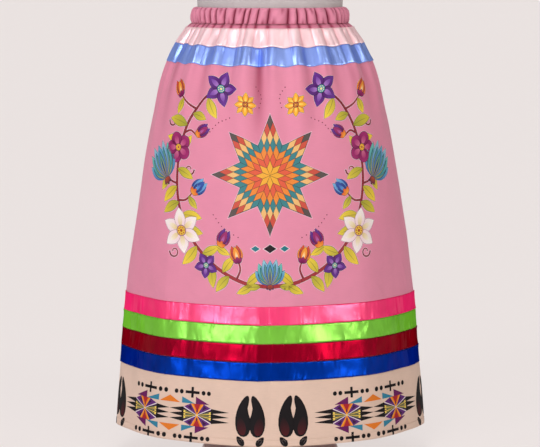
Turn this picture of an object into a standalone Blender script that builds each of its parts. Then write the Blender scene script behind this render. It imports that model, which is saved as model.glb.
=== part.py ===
"""Ribbon skirt on a limbless dress form.

Frame: metres, +Z up. The origin is the centre of the base's underside, on the floor. The skirt's
front faces -Y, and +X is to the right of someone who looks at the front.

A place on the skirt is given by an angle round it and a drop. The angle is 0 at the front centre, 90
at the +X side seam and 180 at the back centre. The drop is the distance below the waist's top edge.
"""

import bisect
import math
from collections import namedtuple

import bmesh
import bpy
from mathutils import Vector

# ---------------------------------------------------------------- driving sizes

HEM_HEIGHT = 0.060
SKIRT_LENGTH = 0.891
WAIST_TOP = HEM_HEIGHT + SKIRT_LENGTH

CLOTH_WALL = 0.0013
RIBBON_WALL = 0.0010
SEAM_GAP = 0.0003

RIBBON_WIDTH = 0.0381
CASING_DEPTH = 0.0330
UPPER_RIBBONS_DROP = 0.0420
LOWER_RIBBONS_DROP = 0.6040
PANEL_JOINT_DROP = LOWER_RIBBONS_DROP + 3.5 * RIBBON_WIDTH

SEAM_ANGLE = 90.0
WAIST_HALF_WIDTH = 0.1534
WAIST_HALF_DEPTH = 0.1150

# ---------------------------------------------------------------- the skirt's outline

# Half the skirt's width at each drop, and its depth as a share of its width. A tautness of 1 gives an
# oval section. Above 1 the cloth runs straighter from the side seams to the front and the back.
Level = namedtuple("Level", "drop half_width depth_ratio tautness")
LEVELS = [
    Level(0.0330, 0.1672, 0.752, 1.00),
    Level(0.0420, 0.1745, 0.755, 1.00),
    Level(0.0594, 0.1842, 0.758, 1.00),
    Level(0.0805, 0.1966, 0.764, 1.00),
    Level(0.1121, 0.2126, 0.771, 1.00),
    Level(0.1544, 0.2288, 0.774, 1.01),
    Level(0.1968, 0.2404, 0.774, 1.03),
    Level(0.2477, 0.2517, 0.771, 1.05),
    Level(0.3244, 0.2658, 0.768, 1.08),
    Level(0.4272, 0.2828, 0.763, 1.12),
    Level(0.5304, 0.2978, 0.759, 1.15),
    Level(0.6342, 0.3102, 0.756, 1.17),
    Level(0.7385, 0.3194, 0.754, 1.17),
    Level(0.8171, 0.3262, 0.754, 1.17),
    Level(0.8910, 0.3311, 0.754, 1.17),
]

# The soft folds that fall from the gathers: where each crest is, how far it stands out, and the drop
# where it has died away. A trough lies between each two crests, and one at each side seam.
Fold = namedtuple("Fold", "crest height reach")
FOLDS = [
    Fold(-85.0, 0.0026, 0.25),
    Fold(-74.0, 0.0034, 0.30),
    Fold(-62.7, 0.0030, 0.24),
    Fold(-47.9, 0.0036, 0.28),
    Fold(-32.1, 0.0030, 0.33),
    Fold(-14.2, 0.0040, 0.47),
    Fold(1.2, 0.0033, 0.42),
    Fold(15.7, 0.0042, 0.38),
    Fold(31.7, 0.0030, 0.27),
    Fold(52.8, 0.0038, 0.34),
    Fold(70.5, 0.0034, 0.27),
    Fold(84.0, 0.0026, 0.24),
    Fold(96.0, 0.0028, 0.26),
    Fold(109.0, 0.0036, 0.33),
    Fold(124.0, 0.0030, 0.26),
    Fold(141.0, 0.0040, 0.41),
    Fold(155.0, 0.0030, 0.29),
    Fold(172.0, 0.0038, 0.45),
    Fold(186.0, 0.0032, 0.36),
    Fold(201.0, 0.0040, 0.31),
    Fold(219.0, 0.0033, 0.43),
    Fold(233.0, 0.0030, 0.27),
    Fold(249.0, 0.0037, 0.34),
    Fold(263.0, 0.0027, 0.25),
]
TROUGH_SHARE = 0.85  # a trough's depth against its two crests' mean height
FOLD_START_SHARE = 0.45  # a fold's height at the casing against its full height
FOLD_FULL_DROP = 0.075
FOLD_FADE_DROP = 0.125
CREST_LIFT = 0.62  # how far a crest draws the cloth up, against how far it stands out
SIDE_LIFT = 0.0045
SIDE_LIFT_END = 0.30
SEAM_FLAT = 1.2  # degrees on each side of a side seam that its allowances hold flat

# The creases pressed in where the skirt was folded away, from the middle of the skirt to the hem, and
# the flat stretches that they leave beside the side seams.
Crease = namedtuple("Crease", "angle height spread_before spread_after")
CREASES = [
    Crease(-68.5, -0.0055, 16.0, 20.0),
    Crease(-47.9, 0.0034, 15.0, 11.0),
    Crease(-6.5, 0.0040, 20.0, 6.0),
    Crease(42.25, 0.0034, 11.0, 12.0),
    Crease(64.0, -0.0050, 17.0, 22.0),
    Crease(116.5, -0.0048, 22.0, 15.0),
    Crease(132.5, 0.0034, 13.0, 10.0),
    Crease(179.0, 0.0040, 9.0, 17.0),
    Crease(226.0, 0.0033, 14.0, 11.0),
    Crease(245.0, -0.0050, 16.0, 21.0),
]
CREASE_START_DROP = 0.30
CREASE_FULL_DROP = 0.56

# ---------------------------------------------------------------- the waist casing

# The gathers of the front half, each opening at a narrow valley and rounding out to a ridge. The back
# half has the same gathers, turned half way round.
Gather = namedtuple("Gather", "valley height")
GATHERS = [
    Gather(-90.0, 0.0032),
    Gather(-83.0, 0.0036),
    Gather(-76.0, 0.0034),
    Gather(-68.5, 0.0040),
    Gather(-61.2, 0.0030),
    Gather(-55.6, 0.0034),
    Gather(-49.5, 0.0032),
    Gather(-43.4, 0.0042),
    Gather(-35.4, 0.0038),
    Gather(-28.0, 0.0036),
    Gather(-20.5, 0.0026),
    Gather(-16.7, 0.0036),
    Gather(-10.1, 0.0040),
    Gather(-2.0, 0.0048),
    Gather(13.2, 0.0036),
    Gather(20.5, 0.0038),
    Gather(28.6, 0.0040),
    Gather(37.6, 0.0044),
    Gather(48.6, 0.0044),
    Gather(59.6, 0.0034),
    Gather(65.3, 0.0030),
    Gather(71.0, 0.0034),
    Gather(77.5, 0.0034),
    Gather(84.0, 0.0032),
]
GATHER_ROUNDNESS = 0.6  # below 1, the ridges are broad and the valleys narrow

# The casing's closed section, from its inner lower edge up, over and down the outside. The stand-off
# is measured from the form's waist, and the gather column says how much of each gather shows there.
CasingRing = namedtuple("CasingRing", "drop stand_off gather")
CASING_RINGS = [
    CasingRing(CASING_DEPTH, SEAM_GAP, 0.0),
    CasingRing(0.0020, SEAM_GAP, 0.0),
    CasingRing(0.0000, 0.0024, 0.15),
    CasingRing(0.0016, 0.0056, 0.50),
    CasingRing(0.0080, 0.0092, 0.95),
    CasingRing(0.0175, 0.0112, 1.00),
    CasingRing(0.0265, 0.0120, 0.90),
    CasingRing(0.0315, 0.0112, 0.55),
    CasingRing(CASING_DEPTH, 0.0118, 0.60),
]
COLUMNS_PER_GATHER = 4

# ---------------------------------------------------------------- the dress form

# The torso's sections from its flat underside to the neck. The lean is the centre's place along Y.
Section = namedtuple("Section", "height half_width half_depth lean")
TORSO = [
    Section(0.650, 0.1780, 0.1340, 0.000),
    Section(0.700, 0.1870, 0.1400, 0.000),
    Section(0.760, 0.1900, 0.1430, 0.000),
    Section(0.820, 0.1840, 0.1380, 0.000),
    Section(0.870, 0.1700, 0.1270, 0.000),
    Section(0.912, WAIST_HALF_WIDTH, WAIST_HALF_DEPTH, 0.000),
    Section(0.962, WAIST_HALF_WIDTH, WAIST_HALF_DEPTH, 0.000),
    Section(1.010, 0.1570, 0.1170, -0.001),
    Section(1.060, 0.1640, 0.1210, -0.004),
    Section(1.110, 0.1720, 0.1280, -0.010),
    Section(1.160, 0.1790, 0.1370, -0.016),
    Section(1.210, 0.1810, 0.1330, -0.013),
    Section(1.260, 0.1800, 0.1170, -0.005),
    Section(1.305, 0.1740, 0.1000, 0.001),
    Section(1.340, 0.1520, 0.0870, 0.006),
    Section(1.365, 0.1130, 0.0740, 0.009),
    Section(1.385, 0.0780, 0.0640, 0.010),
    Section(1.410, 0.0590, 0.0570, 0.009),
    Section(1.450, 0.0550, 0.0550, 0.006),
]
TORSO_COLUMNS = 40
TORSO_FOOT = TORSO[0].height
NECK_TOP = TORSO[-1].height

# The neck cap's outline from its crown down its edge, as shares of its radius and height.
CapRing = namedtuple("CapRing", "radius height")
CAP_RINGS = [
    CapRing(0.00, 1.00),
    CapRing(0.45, 0.93),
    CapRing(0.80, 0.72),
    CapRing(1.00, 0.36),
    CapRing(1.00, 0.00),
    CapRing(0.00, 0.00),
]
CAP_RADIUS = 0.0560
CAP_HEIGHT = 0.0220
COLLAR_TOP_RADIUS = 0.0450
COLLAR_FOOT_RADIUS = 0.0220
COLLAR_HEIGHT = 0.0360
POLE_RADIUS = 0.0160
HUB_FOOT_RADIUS = 0.0360
HUB_TOP_RADIUS = 0.0220
HUB_HEIGHT = 0.0220
BASE_RADIUS = 0.1460
BASE_EDGE = 0.0100
BASE_BEVEL = 0.0040
BASE_HEIGHT = 0.0160
TURNED_COLUMNS = 48
ROUND_COLUMNS = 24
SHARP_ANGLE = 50.0  # degrees between two faces above which their edge is shaded sharp
SAME_POINT = 0.000001  # points nearer than this are one point

# ---------------------------------------------------------------- materials

Finish = namedtuple("Finish", "red green blue roughness metallic")
FINISHES = {
    "waist_casing": Finish(214, 124, 150, 0.85, 0.0),
    "skirt_front": Finish(216, 128, 153, 0.85, 0.0),
    "skirt_back": Finish(216, 128, 153, 0.85, 0.0),
    "hem_front": Finish(222, 194, 176, 0.85, 0.0),
    "hem_back": Finish(222, 194, 176, 0.85, 0.0),
    "ribbon_pale_pink": Finish(248, 212, 218, 0.30, 0.0),
    "ribbon_cornflower": Finish(104, 142, 222, 0.30, 0.0),
    "ribbon_hot_pink": Finish(252, 78, 140, 0.30, 0.0),
    "ribbon_lime": Finish(134, 202, 62, 0.30, 0.0),
    "ribbon_crimson": Finish(158, 12, 44, 0.30, 0.0),
    "ribbon_royal_blue": Finish(0, 72, 176, 0.30, 0.0),
    "form_body": Finish(188, 183, 177, 0.90, 0.0),
    "form_neck_cap": Finish(120, 96, 74, 0.45, 0.0),
    "form_collar": Finish(128, 122, 118, 0.35, 1.0),
    "form_pole": Finish(150, 146, 142, 0.28, 1.0),
    "form_hub": Finish(128, 122, 118, 0.35, 1.0),
    "form_base": Finish(126, 108, 104, 0.50, 0.2),
}


def linear(channel):
    """The linear value of a screen colour's channel, which runs from 0 to 255."""
    share = channel / 255
    return share / 12.92 if share <= 0.04045 else ((share + 0.055) / 1.055) ** 2.4


def material(name):
    finish = FINISHES[name]
    made = bpy.data.materials.new(name)
    made.use_nodes = True
    shader = made.node_tree.nodes["Principled BSDF"]
    colour = [linear(channel) for channel in (finish.red, finish.green, finish.blue)]
    shader.inputs["Base Color"].default_value = (*colour, 1.0)
    shader.inputs["Roughness"].default_value = finish.roughness
    shader.inputs["Metallic"].default_value = finish.metallic
    made.diffuse_color = (*colour, 1.0)
    return made


# ---------------------------------------------------------------- the cloth's surface


def smoothstep(start, end, value):
    share = min(1.0, max(0.0, (value - start) / (end - start)))
    return share * share * (3 - 2 * share)


def outline(drop):
    """The skirt's level at any drop, read between the rows of LEVELS."""
    after = bisect.bisect_left([level.drop for level in LEVELS], drop)
    after = min(max(after, 1), len(LEVELS) - 1)
    upper, lower = LEVELS[after - 1], LEVELS[after]
    share = (drop - upper.drop) / (lower.drop - upper.drop)
    return Level(*(start + share * (end - start) for start, end in zip(upper, lower)))


def turn(angle):
    """The angle brought to between -90 and 270 degrees, where the tables run."""
    return (angle + 90.0) % 360.0 - 90.0


# A crest or a trough: its angle, its signed height and its reach.
Knot = namedtuple("Knot", "angle height reach")


def trough_between(before, after, angle):
    height = -TROUGH_SHARE * (before.height + after.height) / 2
    return Knot(angle, height, (before.reach + after.reach) / 2)


def panel_knots(first, folds, before, after):
    """One panel's crests and troughs, with a flat trough at each of its side seams."""
    start = trough_between(before, folds[0], first)
    end = trough_between(folds[-1], after, first + 2 * SEAM_ANGLE)
    knots = [start, start._replace(angle=start.angle + SEAM_FLAT)]
    for fold, following in zip(folds, folds[1:] + [None]):
        knots.append(Knot(fold.crest, fold.height, fold.reach))
        if following:
            knots.append(trough_between(fold, following, (fold.crest + following.crest) / 2))
    return knots + [end._replace(angle=end.angle - SEAM_FLAT), end]


def fold_knots():
    """The crests and troughs in turn, once round from the -X side seam."""
    half = len(FOLDS) // 2
    front, back = FOLDS[:half], FOLDS[half:]
    knots = panel_knots(-SEAM_ANGLE, front, back[-1], back[0])
    return knots + panel_knots(SEAM_ANGLE, back, front[-1], front[0])[1:]


KNOTS = fold_knots()
KNOT_ANGLES = [knot.angle for knot in KNOTS]


def knot_height(knot, drop):
    """How far the cloth stands out at a crest, or in at a trough, at this drop."""
    growth = smoothstep(CASING_DEPTH, FOLD_FULL_DROP, drop)
    fade = 1 - smoothstep(FOLD_FADE_DROP, knot.reach, drop)
    return knot.height * (FOLD_START_SHARE + (1 - FOLD_START_SHARE) * growth) * fade


def fold_height(angle, drop):
    """The soft folds' part of the stand-off, a rounded wave from knot to knot."""
    after = bisect.bisect_right(KNOT_ANGLES, turn(angle))
    after = min(max(after, 1), len(KNOTS) - 1)
    before, beyond = KNOTS[after - 1], KNOTS[after]
    share = smoothstep(before.angle, beyond.angle, turn(angle))
    start, end = knot_height(before, drop), knot_height(beyond, drop)
    return start + share * (end - start)


def crease_height(angle, drop):
    """The pressed creases' part of the stand-off, each a ridge with two flat flanks."""
    height = 0.0
    for crease in CREASES:
        away = (angle - crease.angle + 180.0) % 360.0 - 180.0
        spread = crease.spread_after if away > 0 else crease.spread_before
        height += crease.height * max(0.0, 1 - abs(away) / spread)
    return height * smoothstep(CREASE_START_DROP, CREASE_FULL_DROP, drop)


def lift(angle, drop):
    """How far the cloth is drawn up by its folds and, at the sides, by the figure's width."""
    shown = smoothstep(CASING_DEPTH, FOLD_FULL_DROP, drop)
    side = SIDE_LIFT * math.sin(math.radians(angle)) ** 2
    side *= 1 - smoothstep(FOLD_FADE_DROP, SIDE_LIFT_END, drop)
    return shown * (side + CREST_LIFT * fold_height(angle, drop))


def raised(value, power):
    """A power of a sine or cosine that keeps its sign."""
    return math.copysign(abs(value) ** power, value)


def oval_point(angle, half_width, half_depth, stand_off, height, tautness=1.0):
    """A point on a closed section round the Z axis, moved out square to the section."""
    across, along = math.sin(math.radians(angle)), -math.cos(math.radians(angle))
    across_place, along_place = raised(across, tautness), raised(along, tautness)
    place = Vector((half_width * across_place, half_depth * along_place, height))
    slope = 2.0 - tautness
    outward = Vector((half_depth * raised(across, slope), half_width * raised(along, slope), 0.0))
    return place + stand_off * outward.normalized()


def cloth_point(angle, drop):
    """A point on the outer face of the skirt's cloth."""
    level = outline(drop)
    half_depth = level.half_width * level.depth_ratio
    stand_off = fold_height(angle, drop) + crease_height(angle, drop)
    height = WAIST_TOP - drop + lift(angle, drop)
    return oval_point(angle, level.half_width, half_depth, stand_off, height, level.tautness)


# ---------------------------------------------------------------- columns and rows

# From CASING_DEPTH down, the upper cloth has a column at each crest, each trough and half way
# between them. Below this drop, where the folds have died away, it has the crests and troughs only.
COARSE_FROM_DROP = 0.34

PANEL_ROWS = [
    CASING_DEPTH + SEAM_GAP,
    UPPER_RIBBONS_DROP,
    UPPER_RIBBONS_DROP + RIBBON_WIDTH,
    UPPER_RIBBONS_DROP + 2 * RIBBON_WIDTH,
    0.160,
    0.210,
    0.270,
    COARSE_FROM_DROP,
    0.430,
    0.520,
    LOWER_RIBBONS_DROP,
    LOWER_RIBBONS_DROP + RIBBON_WIDTH,
    LOWER_RIBBONS_DROP + 2 * RIBBON_WIDTH,
    LOWER_RIBBONS_DROP + 3 * RIBBON_WIDTH,
    PANEL_JOINT_DROP - SEAM_GAP / 2,
]
HEM_ROWS = [
    PANEL_JOINT_DROP + SEAM_GAP / 2,
    LOWER_RIBBONS_DROP + 4 * RIBBON_WIDTH,
    0.800,
    0.850,
    SKIRT_LENGTH,
]


def columns(drop, first, last):
    """The angles of a row's columns between two side seams, both seams included."""
    coarse = [angle for angle in KNOT_ANGLES if first <= angle <= last]
    if drop >= COARSE_FROM_DROP:
        return coarse
    halves = [(one + other) / 2 for one, other in zip(coarse, coarse[1:])]
    return sorted(coarse + halves)


def panel_angles(drop, first, last):
    """A panel's columns, drawn in at both side seams by half the seam's gap."""
    angles = columns(drop, first, last)
    level = outline(drop)
    half_gap = SEAM_GAP / 2 / (level.half_width * level.depth_ratio)
    inset = math.degrees(half_gap ** (1 / level.tautness))
    return [first + inset] + angles[1:-1] + [last - inset]


# ---------------------------------------------------------------- making the meshes


def add_object(name, mesh, collection):
    mesh.shade_smooth()
    mesh.materials.append(material(name))
    made = bpy.data.objects.new(name, mesh)
    collection.objects.link(made)
    return made


def closed_object(name, builder, collection):
    """A named object from a bmesh that is already one closed body."""
    bmesh.ops.recalc_face_normals(builder, faces=builder.faces)
    mesh = bpy.data.meshes.new(name)
    builder.to_mesh(mesh)
    builder.free()
    return add_object(name, mesh, collection)


def join_rows(builder, upper, lower, ring):
    """Fills between two rows of points. The lower row may have half as many columns."""
    step = 1 if len(upper) == len(lower) else 2
    cells = len(lower) if ring else len(lower) - 1
    for cell in range(cells):
        left, right = lower[cell], lower[(cell + 1) % len(lower)]
        edge = [upper[(cell * step + n) % len(upper)] for n in range(step + 1)]
        builder.faces.new((edge[0], left, edge[1]))
        builder.faces.new((edge[1], left, right))
        if step == 2:
            builder.faces.new((edge[1], right, edge[2]))


def surface(rows, ring=False):
    """An open surface through rows of points, its first row uppermost, facing outward."""
    builder = bmesh.new()
    placed = [[builder.verts.new(point) for point in row] for row in rows]
    for upper, lower in zip(placed, placed[1:]):
        join_rows(builder, upper, lower, ring)
    return builder


def face_outward(builder):
    """Turns the faces of an open sheet so that its normals point away from the Z axis."""
    bmesh.ops.recalc_face_normals(builder, faces=builder.faces)
    builder.normal_update()
    away = sum(face.normal.dot(face.calc_center_median()) for face in builder.faces)
    if away < 0:
        bmesh.ops.reverse_faces(builder, faces=builder.faces)
        builder.normal_update()


def sheet_object(name, builder, wall, collection, outward):
    """A closed wall of cloth: the open surface with Solidify, inward or outward."""
    face_outward(builder)
    mesh = bpy.data.meshes.new(name)
    builder.to_mesh(mesh)
    builder.free()
    made = add_object(name, mesh, collection)
    thick = made.modifiers.new("wall", "SOLIDIFY")
    thick.thickness = wall
    thick.offset = 1.0 if outward else -1.0
    thick.use_even_offset = True
    return made


def moved_out(builder, distance):
    """Moves each point of a surface out along its own normal."""
    face_outward(builder)
    for vertex in builder.verts:
        vertex.co += distance * vertex.normal
    return builder


# ---------------------------------------------------------------- the garment


def panel(name, drops, first, last, collection):
    rows = []
    for drop in drops:
        rows.append([cloth_point(angle, drop) for angle in panel_angles(drop, first, last)])
    return sheet_object(name, surface(rows), CLOTH_WALL, collection, outward=False)


def ribbon(name, drops, collection):
    """A ribbon sewn on all round: the cloth's own points, moved out by the seam's gap."""
    angles = columns(min(drops), -SEAM_ANGLE, 360.0 - SEAM_ANGLE)[:-1]
    rows = [[cloth_point(angle, drop) for angle in angles] for drop in drops]
    builder = moved_out(surface(rows, ring=True), SEAM_GAP)
    return sheet_object(name, builder, RIBBON_WALL, collection, outward=True)


def casing_columns():
    """The angle, gather height and place within the gather of each of the casing's columns."""
    half_turn = 2 * SEAM_ANGLE
    front = [(gather.valley, gather.height) for gather in GATHERS]
    gathers = front + [(valley + half_turn, height) for valley, height in front]
    ends = [valley for valley, _ in gathers[1:]] + [gathers[0][0] + 360.0]
    found = []
    for (valley, height), end in zip(gathers, ends):
        for number in range(COLUMNS_PER_GATHER):
            place = number / COLUMNS_PER_GATHER
            ridge = math.sin(math.pi * place) ** GATHER_ROUNDNESS
            found.append((valley + place * (end - valley), height * ridge))
    return found


def waist_casing(collection):
    placed = []
    for ring in CASING_RINGS:
        row = []
        for angle, gathered in casing_columns():
            stand_off = ring.stand_off + ring.gather * gathered
            height = WAIST_TOP - ring.drop
            row.append(oval_point(angle, WAIST_HALF_WIDTH, WAIST_HALF_DEPTH, stand_off, height))
        placed.append(row)
    builder = surface(placed + placed[:1], ring=True)
    bmesh.ops.remove_doubles(builder, verts=builder.verts, dist=SAME_POINT)
    return closed_object("waist_casing", builder, collection)


def ribbon_drops(top, number):
    """The upper and lower edge of the ribbon that is this far down its group."""
    upper = top + number * RIBBON_WIDTH
    return [upper, upper + RIBBON_WIDTH - SEAM_GAP]


def garment(collection):
    waist_casing(collection)
    panel("skirt_front", PANEL_ROWS, -SEAM_ANGLE, SEAM_ANGLE, collection)
    panel("skirt_back", PANEL_ROWS, SEAM_ANGLE, 360.0 - SEAM_ANGLE, collection)
    panel("hem_front", HEM_ROWS, -SEAM_ANGLE, SEAM_ANGLE, collection)
    panel("hem_back", HEM_ROWS, SEAM_ANGLE, 360.0 - SEAM_ANGLE, collection)
    for number, name in enumerate(("ribbon_pale_pink", "ribbon_cornflower")):
        ribbon(name, ribbon_drops(UPPER_RIBBONS_DROP, number), collection)
    lower = ("ribbon_hot_pink", "ribbon_lime", "ribbon_crimson", "ribbon_royal_blue")
    for number, name in enumerate(lower):
        ribbon(name, ribbon_drops(LOWER_RIBBONS_DROP, number), collection)


# ---------------------------------------------------------------- the form's pieces


def torso(collection):
    """The torso: ovals of different widths, depths and leans, joined and closed at both ends."""
    rows = []
    for section in reversed(TORSO):
        row = []
        for number in range(TORSO_COLUMNS):
            angle = 360.0 * number / TORSO_COLUMNS
            point = oval_point(angle, section.half_width, section.half_depth, 0.0, section.height)
            row.append(point + Vector((0.0, section.lean, 0.0)))
        rows.append(row)
    builder = surface(rows, ring=True)
    bmesh.ops.holes_fill(builder, edges=builder.edges, sides=0)
    made = closed_object("form_body", builder, collection)
    made.data.set_sharp_from_angle(angle=math.radians(SHARP_ANGLE))


def turned(name, profile, collection):
    """A turned piece: its outline, as radii and heights from the top axis down the outside."""
    mesh = bpy.data.meshes.new(name)
    points = [(radius, 0.0, height) for radius, height in profile]
    mesh.from_pydata(points, [(n, n + 1) for n in range(len(points) - 1)], [])
    made = add_object(name, mesh, collection)
    spin = made.modifiers.new("turned", "SCREW")
    spin.steps = TURNED_COLUMNS
    spin.render_steps = TURNED_COLUMNS
    spin.use_merge_vertices = True
    spin.merge_threshold = SAME_POINT
    return made


def cone(name, foot_radius, top_radius, foot, top, collection):
    """A straight or tapered round piece that stands on the Z axis."""
    builder = bmesh.new()
    bmesh.ops.create_cone(
        builder,
        cap_ends=True,
        segments=ROUND_COLUMNS,
        radius1=foot_radius,
        radius2=top_radius,
        depth=top - foot,
    )
    made = closed_object(name, builder, collection)
    made.location.z = (foot + top) / 2
    made.data.set_sharp_from_angle(angle=math.radians(SHARP_ANGLE))


def dress_form(collection):
    torso(collection)
    cap_foot = NECK_TOP + SEAM_GAP
    cap = [(CAP_RADIUS * ring.radius, cap_foot + CAP_HEIGHT * ring.height) for ring in CAP_RINGS]
    turned("form_neck_cap", cap, collection).location.y = TORSO[-1].lean
    collar_top = TORSO_FOOT - SEAM_GAP
    collar_foot = collar_top - COLLAR_HEIGHT
    cone("form_collar", COLLAR_FOOT_RADIUS, COLLAR_TOP_RADIUS, collar_foot, collar_top, collection)
    hub_foot = BASE_HEIGHT + SEAM_GAP
    hub_top = hub_foot + HUB_HEIGHT
    cone("form_hub", HUB_FOOT_RADIUS, HUB_TOP_RADIUS, hub_foot, hub_top, collection)
    pole_foot, pole_top = hub_top + SEAM_GAP, collar_foot - SEAM_GAP
    cone("form_pole", POLE_RADIUS, POLE_RADIUS, pole_foot, pole_top, collection)
    base = [
        (0.0, BASE_HEIGHT),
        (HUB_FOOT_RADIUS, BASE_HEIGHT),
        (BASE_RADIUS - BASE_BEVEL, BASE_EDGE),
        (BASE_RADIUS, BASE_EDGE - BASE_BEVEL),
        (BASE_RADIUS, 0.0),
        (0.0, 0.0),
    ]
    turned("form_base", base, collection)


def clear_scene():
    for leftover in list(bpy.data.objects):
        bpy.data.objects.remove(leftover)


def main():
    clear_scene()
    collection = bpy.data.collections.new("ribbon_skirt_on_dress_form")
    bpy.context.scene.collection.children.link(collection)
    garment(collection)
    dress_form(collection)


main()
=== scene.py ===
"""Ribbon skirt on a limbless dress form: its finishes and soft pieces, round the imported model.

Metres, +Z up. The front faces -Y. A place on the skirt is an angle round it, 0 at the front centre
and 90 at the +X side seam, and a drop below the waist's top edge.
"""

import math
import random
from functools import partial

import bmesh
import bpy
import numpy as np
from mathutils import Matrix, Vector


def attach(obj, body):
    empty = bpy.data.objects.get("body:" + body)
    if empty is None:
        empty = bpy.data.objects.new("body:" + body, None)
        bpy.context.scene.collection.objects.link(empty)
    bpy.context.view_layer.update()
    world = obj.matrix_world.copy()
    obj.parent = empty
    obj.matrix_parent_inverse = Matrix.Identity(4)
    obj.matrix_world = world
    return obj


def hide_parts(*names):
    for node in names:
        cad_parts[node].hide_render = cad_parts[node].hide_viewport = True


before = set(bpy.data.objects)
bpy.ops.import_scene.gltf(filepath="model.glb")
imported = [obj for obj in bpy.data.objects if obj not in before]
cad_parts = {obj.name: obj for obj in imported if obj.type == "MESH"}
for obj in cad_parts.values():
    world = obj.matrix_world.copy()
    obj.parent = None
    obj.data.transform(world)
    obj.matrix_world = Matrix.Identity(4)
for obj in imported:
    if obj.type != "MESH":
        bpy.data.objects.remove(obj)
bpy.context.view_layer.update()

# ------------------------------------------------------------------ the stand
# A round pressed-steel base, a hub, a steel pole and a collar under the torso. The base is painted in
# a fine stove enamel; the hub, pole and collar are brushed steel. They are screwed into each other.

BASE_PAINT = (198, 184, 181)
BASE_SPECKLE = 900.0
BRUSHED_STEEL = (150, 147, 144)
BRUSH_LINES = 260.0
BRUSH_STRETCH = (1.0, 1.0, 0.03)
NOISE_SPREAD = (0.3, 0.7)  # most of a noise's values lie between these


def screen_colour(red, green, blue):
    """The linear colour of a screen colour, which runs from 0 to 255."""
    shares = [channel / 255 for channel in (red, green, blue)]
    linear = [s / 12.92 if s <= 0.04045 else ((s + 0.055) / 1.055) ** 2.4 for s in shares]
    return (*linear, 1.0)


def shade(colour, amount):
    """The colour made lighter, above 1, or darker."""
    return tuple(min(255, channel * amount) for channel in colour)


def set_inputs(tree, node, inputs):
    """Links or sets some of a node's inputs, each by its name or number."""
    for name, value in inputs:
        if isinstance(value, bpy.types.NodeSocket):
            tree.links.new(value, node.inputs[name])
        else:
            node.inputs[name].default_value = value


def add_node(tree, kind, inputs=(), **settings):
    """A node with its settings, and with its inputs linked or set."""
    node = tree.nodes.new(kind)
    for name, value in settings.items():
        setattr(node, name, value)
    set_inputs(tree, node, inputs)
    return node


def new_finish(name, roughness, metallic=0.0, inputs=()):
    """A material with nodes: the material, its node tree and its shader."""
    made = bpy.data.materials.new(name)
    made.use_nodes = True
    shader = made.node_tree.nodes["Principled BSDF"]
    set_inputs(made.node_tree, shader, [("Roughness", roughness), ("Metallic", metallic), *inputs])
    return made, made.node_tree, shader


def body_place(tree):
    return add_node(tree, "ShaderNodeTexCoord").outputs["Object"]


def stretched(tree, place, across, along, up):
    """The place with each of its axes scaled, so that a pattern on it is drawn out."""
    inputs = [("Vector", place), ("Scale", (across, along, up))]
    return add_node(tree, "ShaderNodeMapping", inputs).outputs["Vector"]


def noise(tree, place, scale, detail=3.0):
    """An even random value at each place, about 0.5 on the whole."""
    inputs = [("Vector", place), ("Scale", scale), ("Detail", detail)]
    return add_node(tree, "ShaderNodeTexNoise", inputs).outputs["Fac"]


def two_colours(tree, share, first, second):
    """A colour between two, by a noise's value."""
    ramp = add_node(tree, "ShaderNodeValToRGB", [("Fac", share)])
    for stop, place, colour in zip(ramp.color_ramp.elements, NOISE_SPREAD, (first, second)):
        stop.position = place
        stop.color = screen_colour(*colour)
    return ramp.outputs["Color"]


def bump(tree, height, distance, strength, under=None):
    """The normal of a surface that a height raises, over another normal where one is given."""
    inputs = [("Height", height), ("Distance", distance), ("Strength", strength)]
    if under is not None:
        inputs.append(("Normal", under))
    return add_node(tree, "ShaderNodeBump", inputs).outputs["Normal"]


def grained(tree, shader, grain, first, second, distance, strength):
    """Gives a finish two colours by a grain, which raises its surface as well."""
    colour = two_colours(tree, grain, first, second)
    normal = bump(tree, grain, distance, strength)
    set_inputs(tree, shader, [("Base Color", colour), ("Normal", normal)])


def dress(node, finish):
    """Gives a CAD node a finish of its own in place of its plain one."""
    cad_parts[node].material_slots[0].material = finish


enamel, tree, shader = new_finish("stove_enamel", 0.42)
speckle = noise(tree, body_place(tree), BASE_SPECKLE)
paints = shade(BASE_PAINT, 0.9), shade(BASE_PAINT, 1.08)
grained(tree, shader, speckle, *paints, distance=0.0004, strength=0.5)
dress("form_base", enamel)

steel, tree, shader = new_finish("brushed_steel", 0.34, 1.0, [("Anisotropic", 0.4)])
brushing = noise(tree, stretched(tree, body_place(tree), *BRUSH_STRETCH), BRUSH_LINES)
metals = shade(BRUSHED_STEEL, 0.86), shade(BRUSHED_STEEL, 1.1)
grained(tree, shader, brushing, *metals, distance=0.0002, strength=0.35)
for node in ("form_hub", "form_pole", "form_collar"):
    dress(node, steel)

# ------------------------------------------------------------------ the torso
# A moulded limbless torso under a tight linen cover. The cover is cut in eight gores, sewn edge to
# edge, so a fine sunk seam runs down the centre, the sides and between them.

LINEN = (190, 183, 183)
LINEN_THREAD = 0.0011
COVER_SEAM_DEPTH = 0.0009
COVER_SEAM_HALF_WIDTH = 1.3  # degrees
COVER_SEAMS = (0.0, 31.0, 90.0, 148.0, 180.0, 212.0, 270.0, 329.0)
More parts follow.
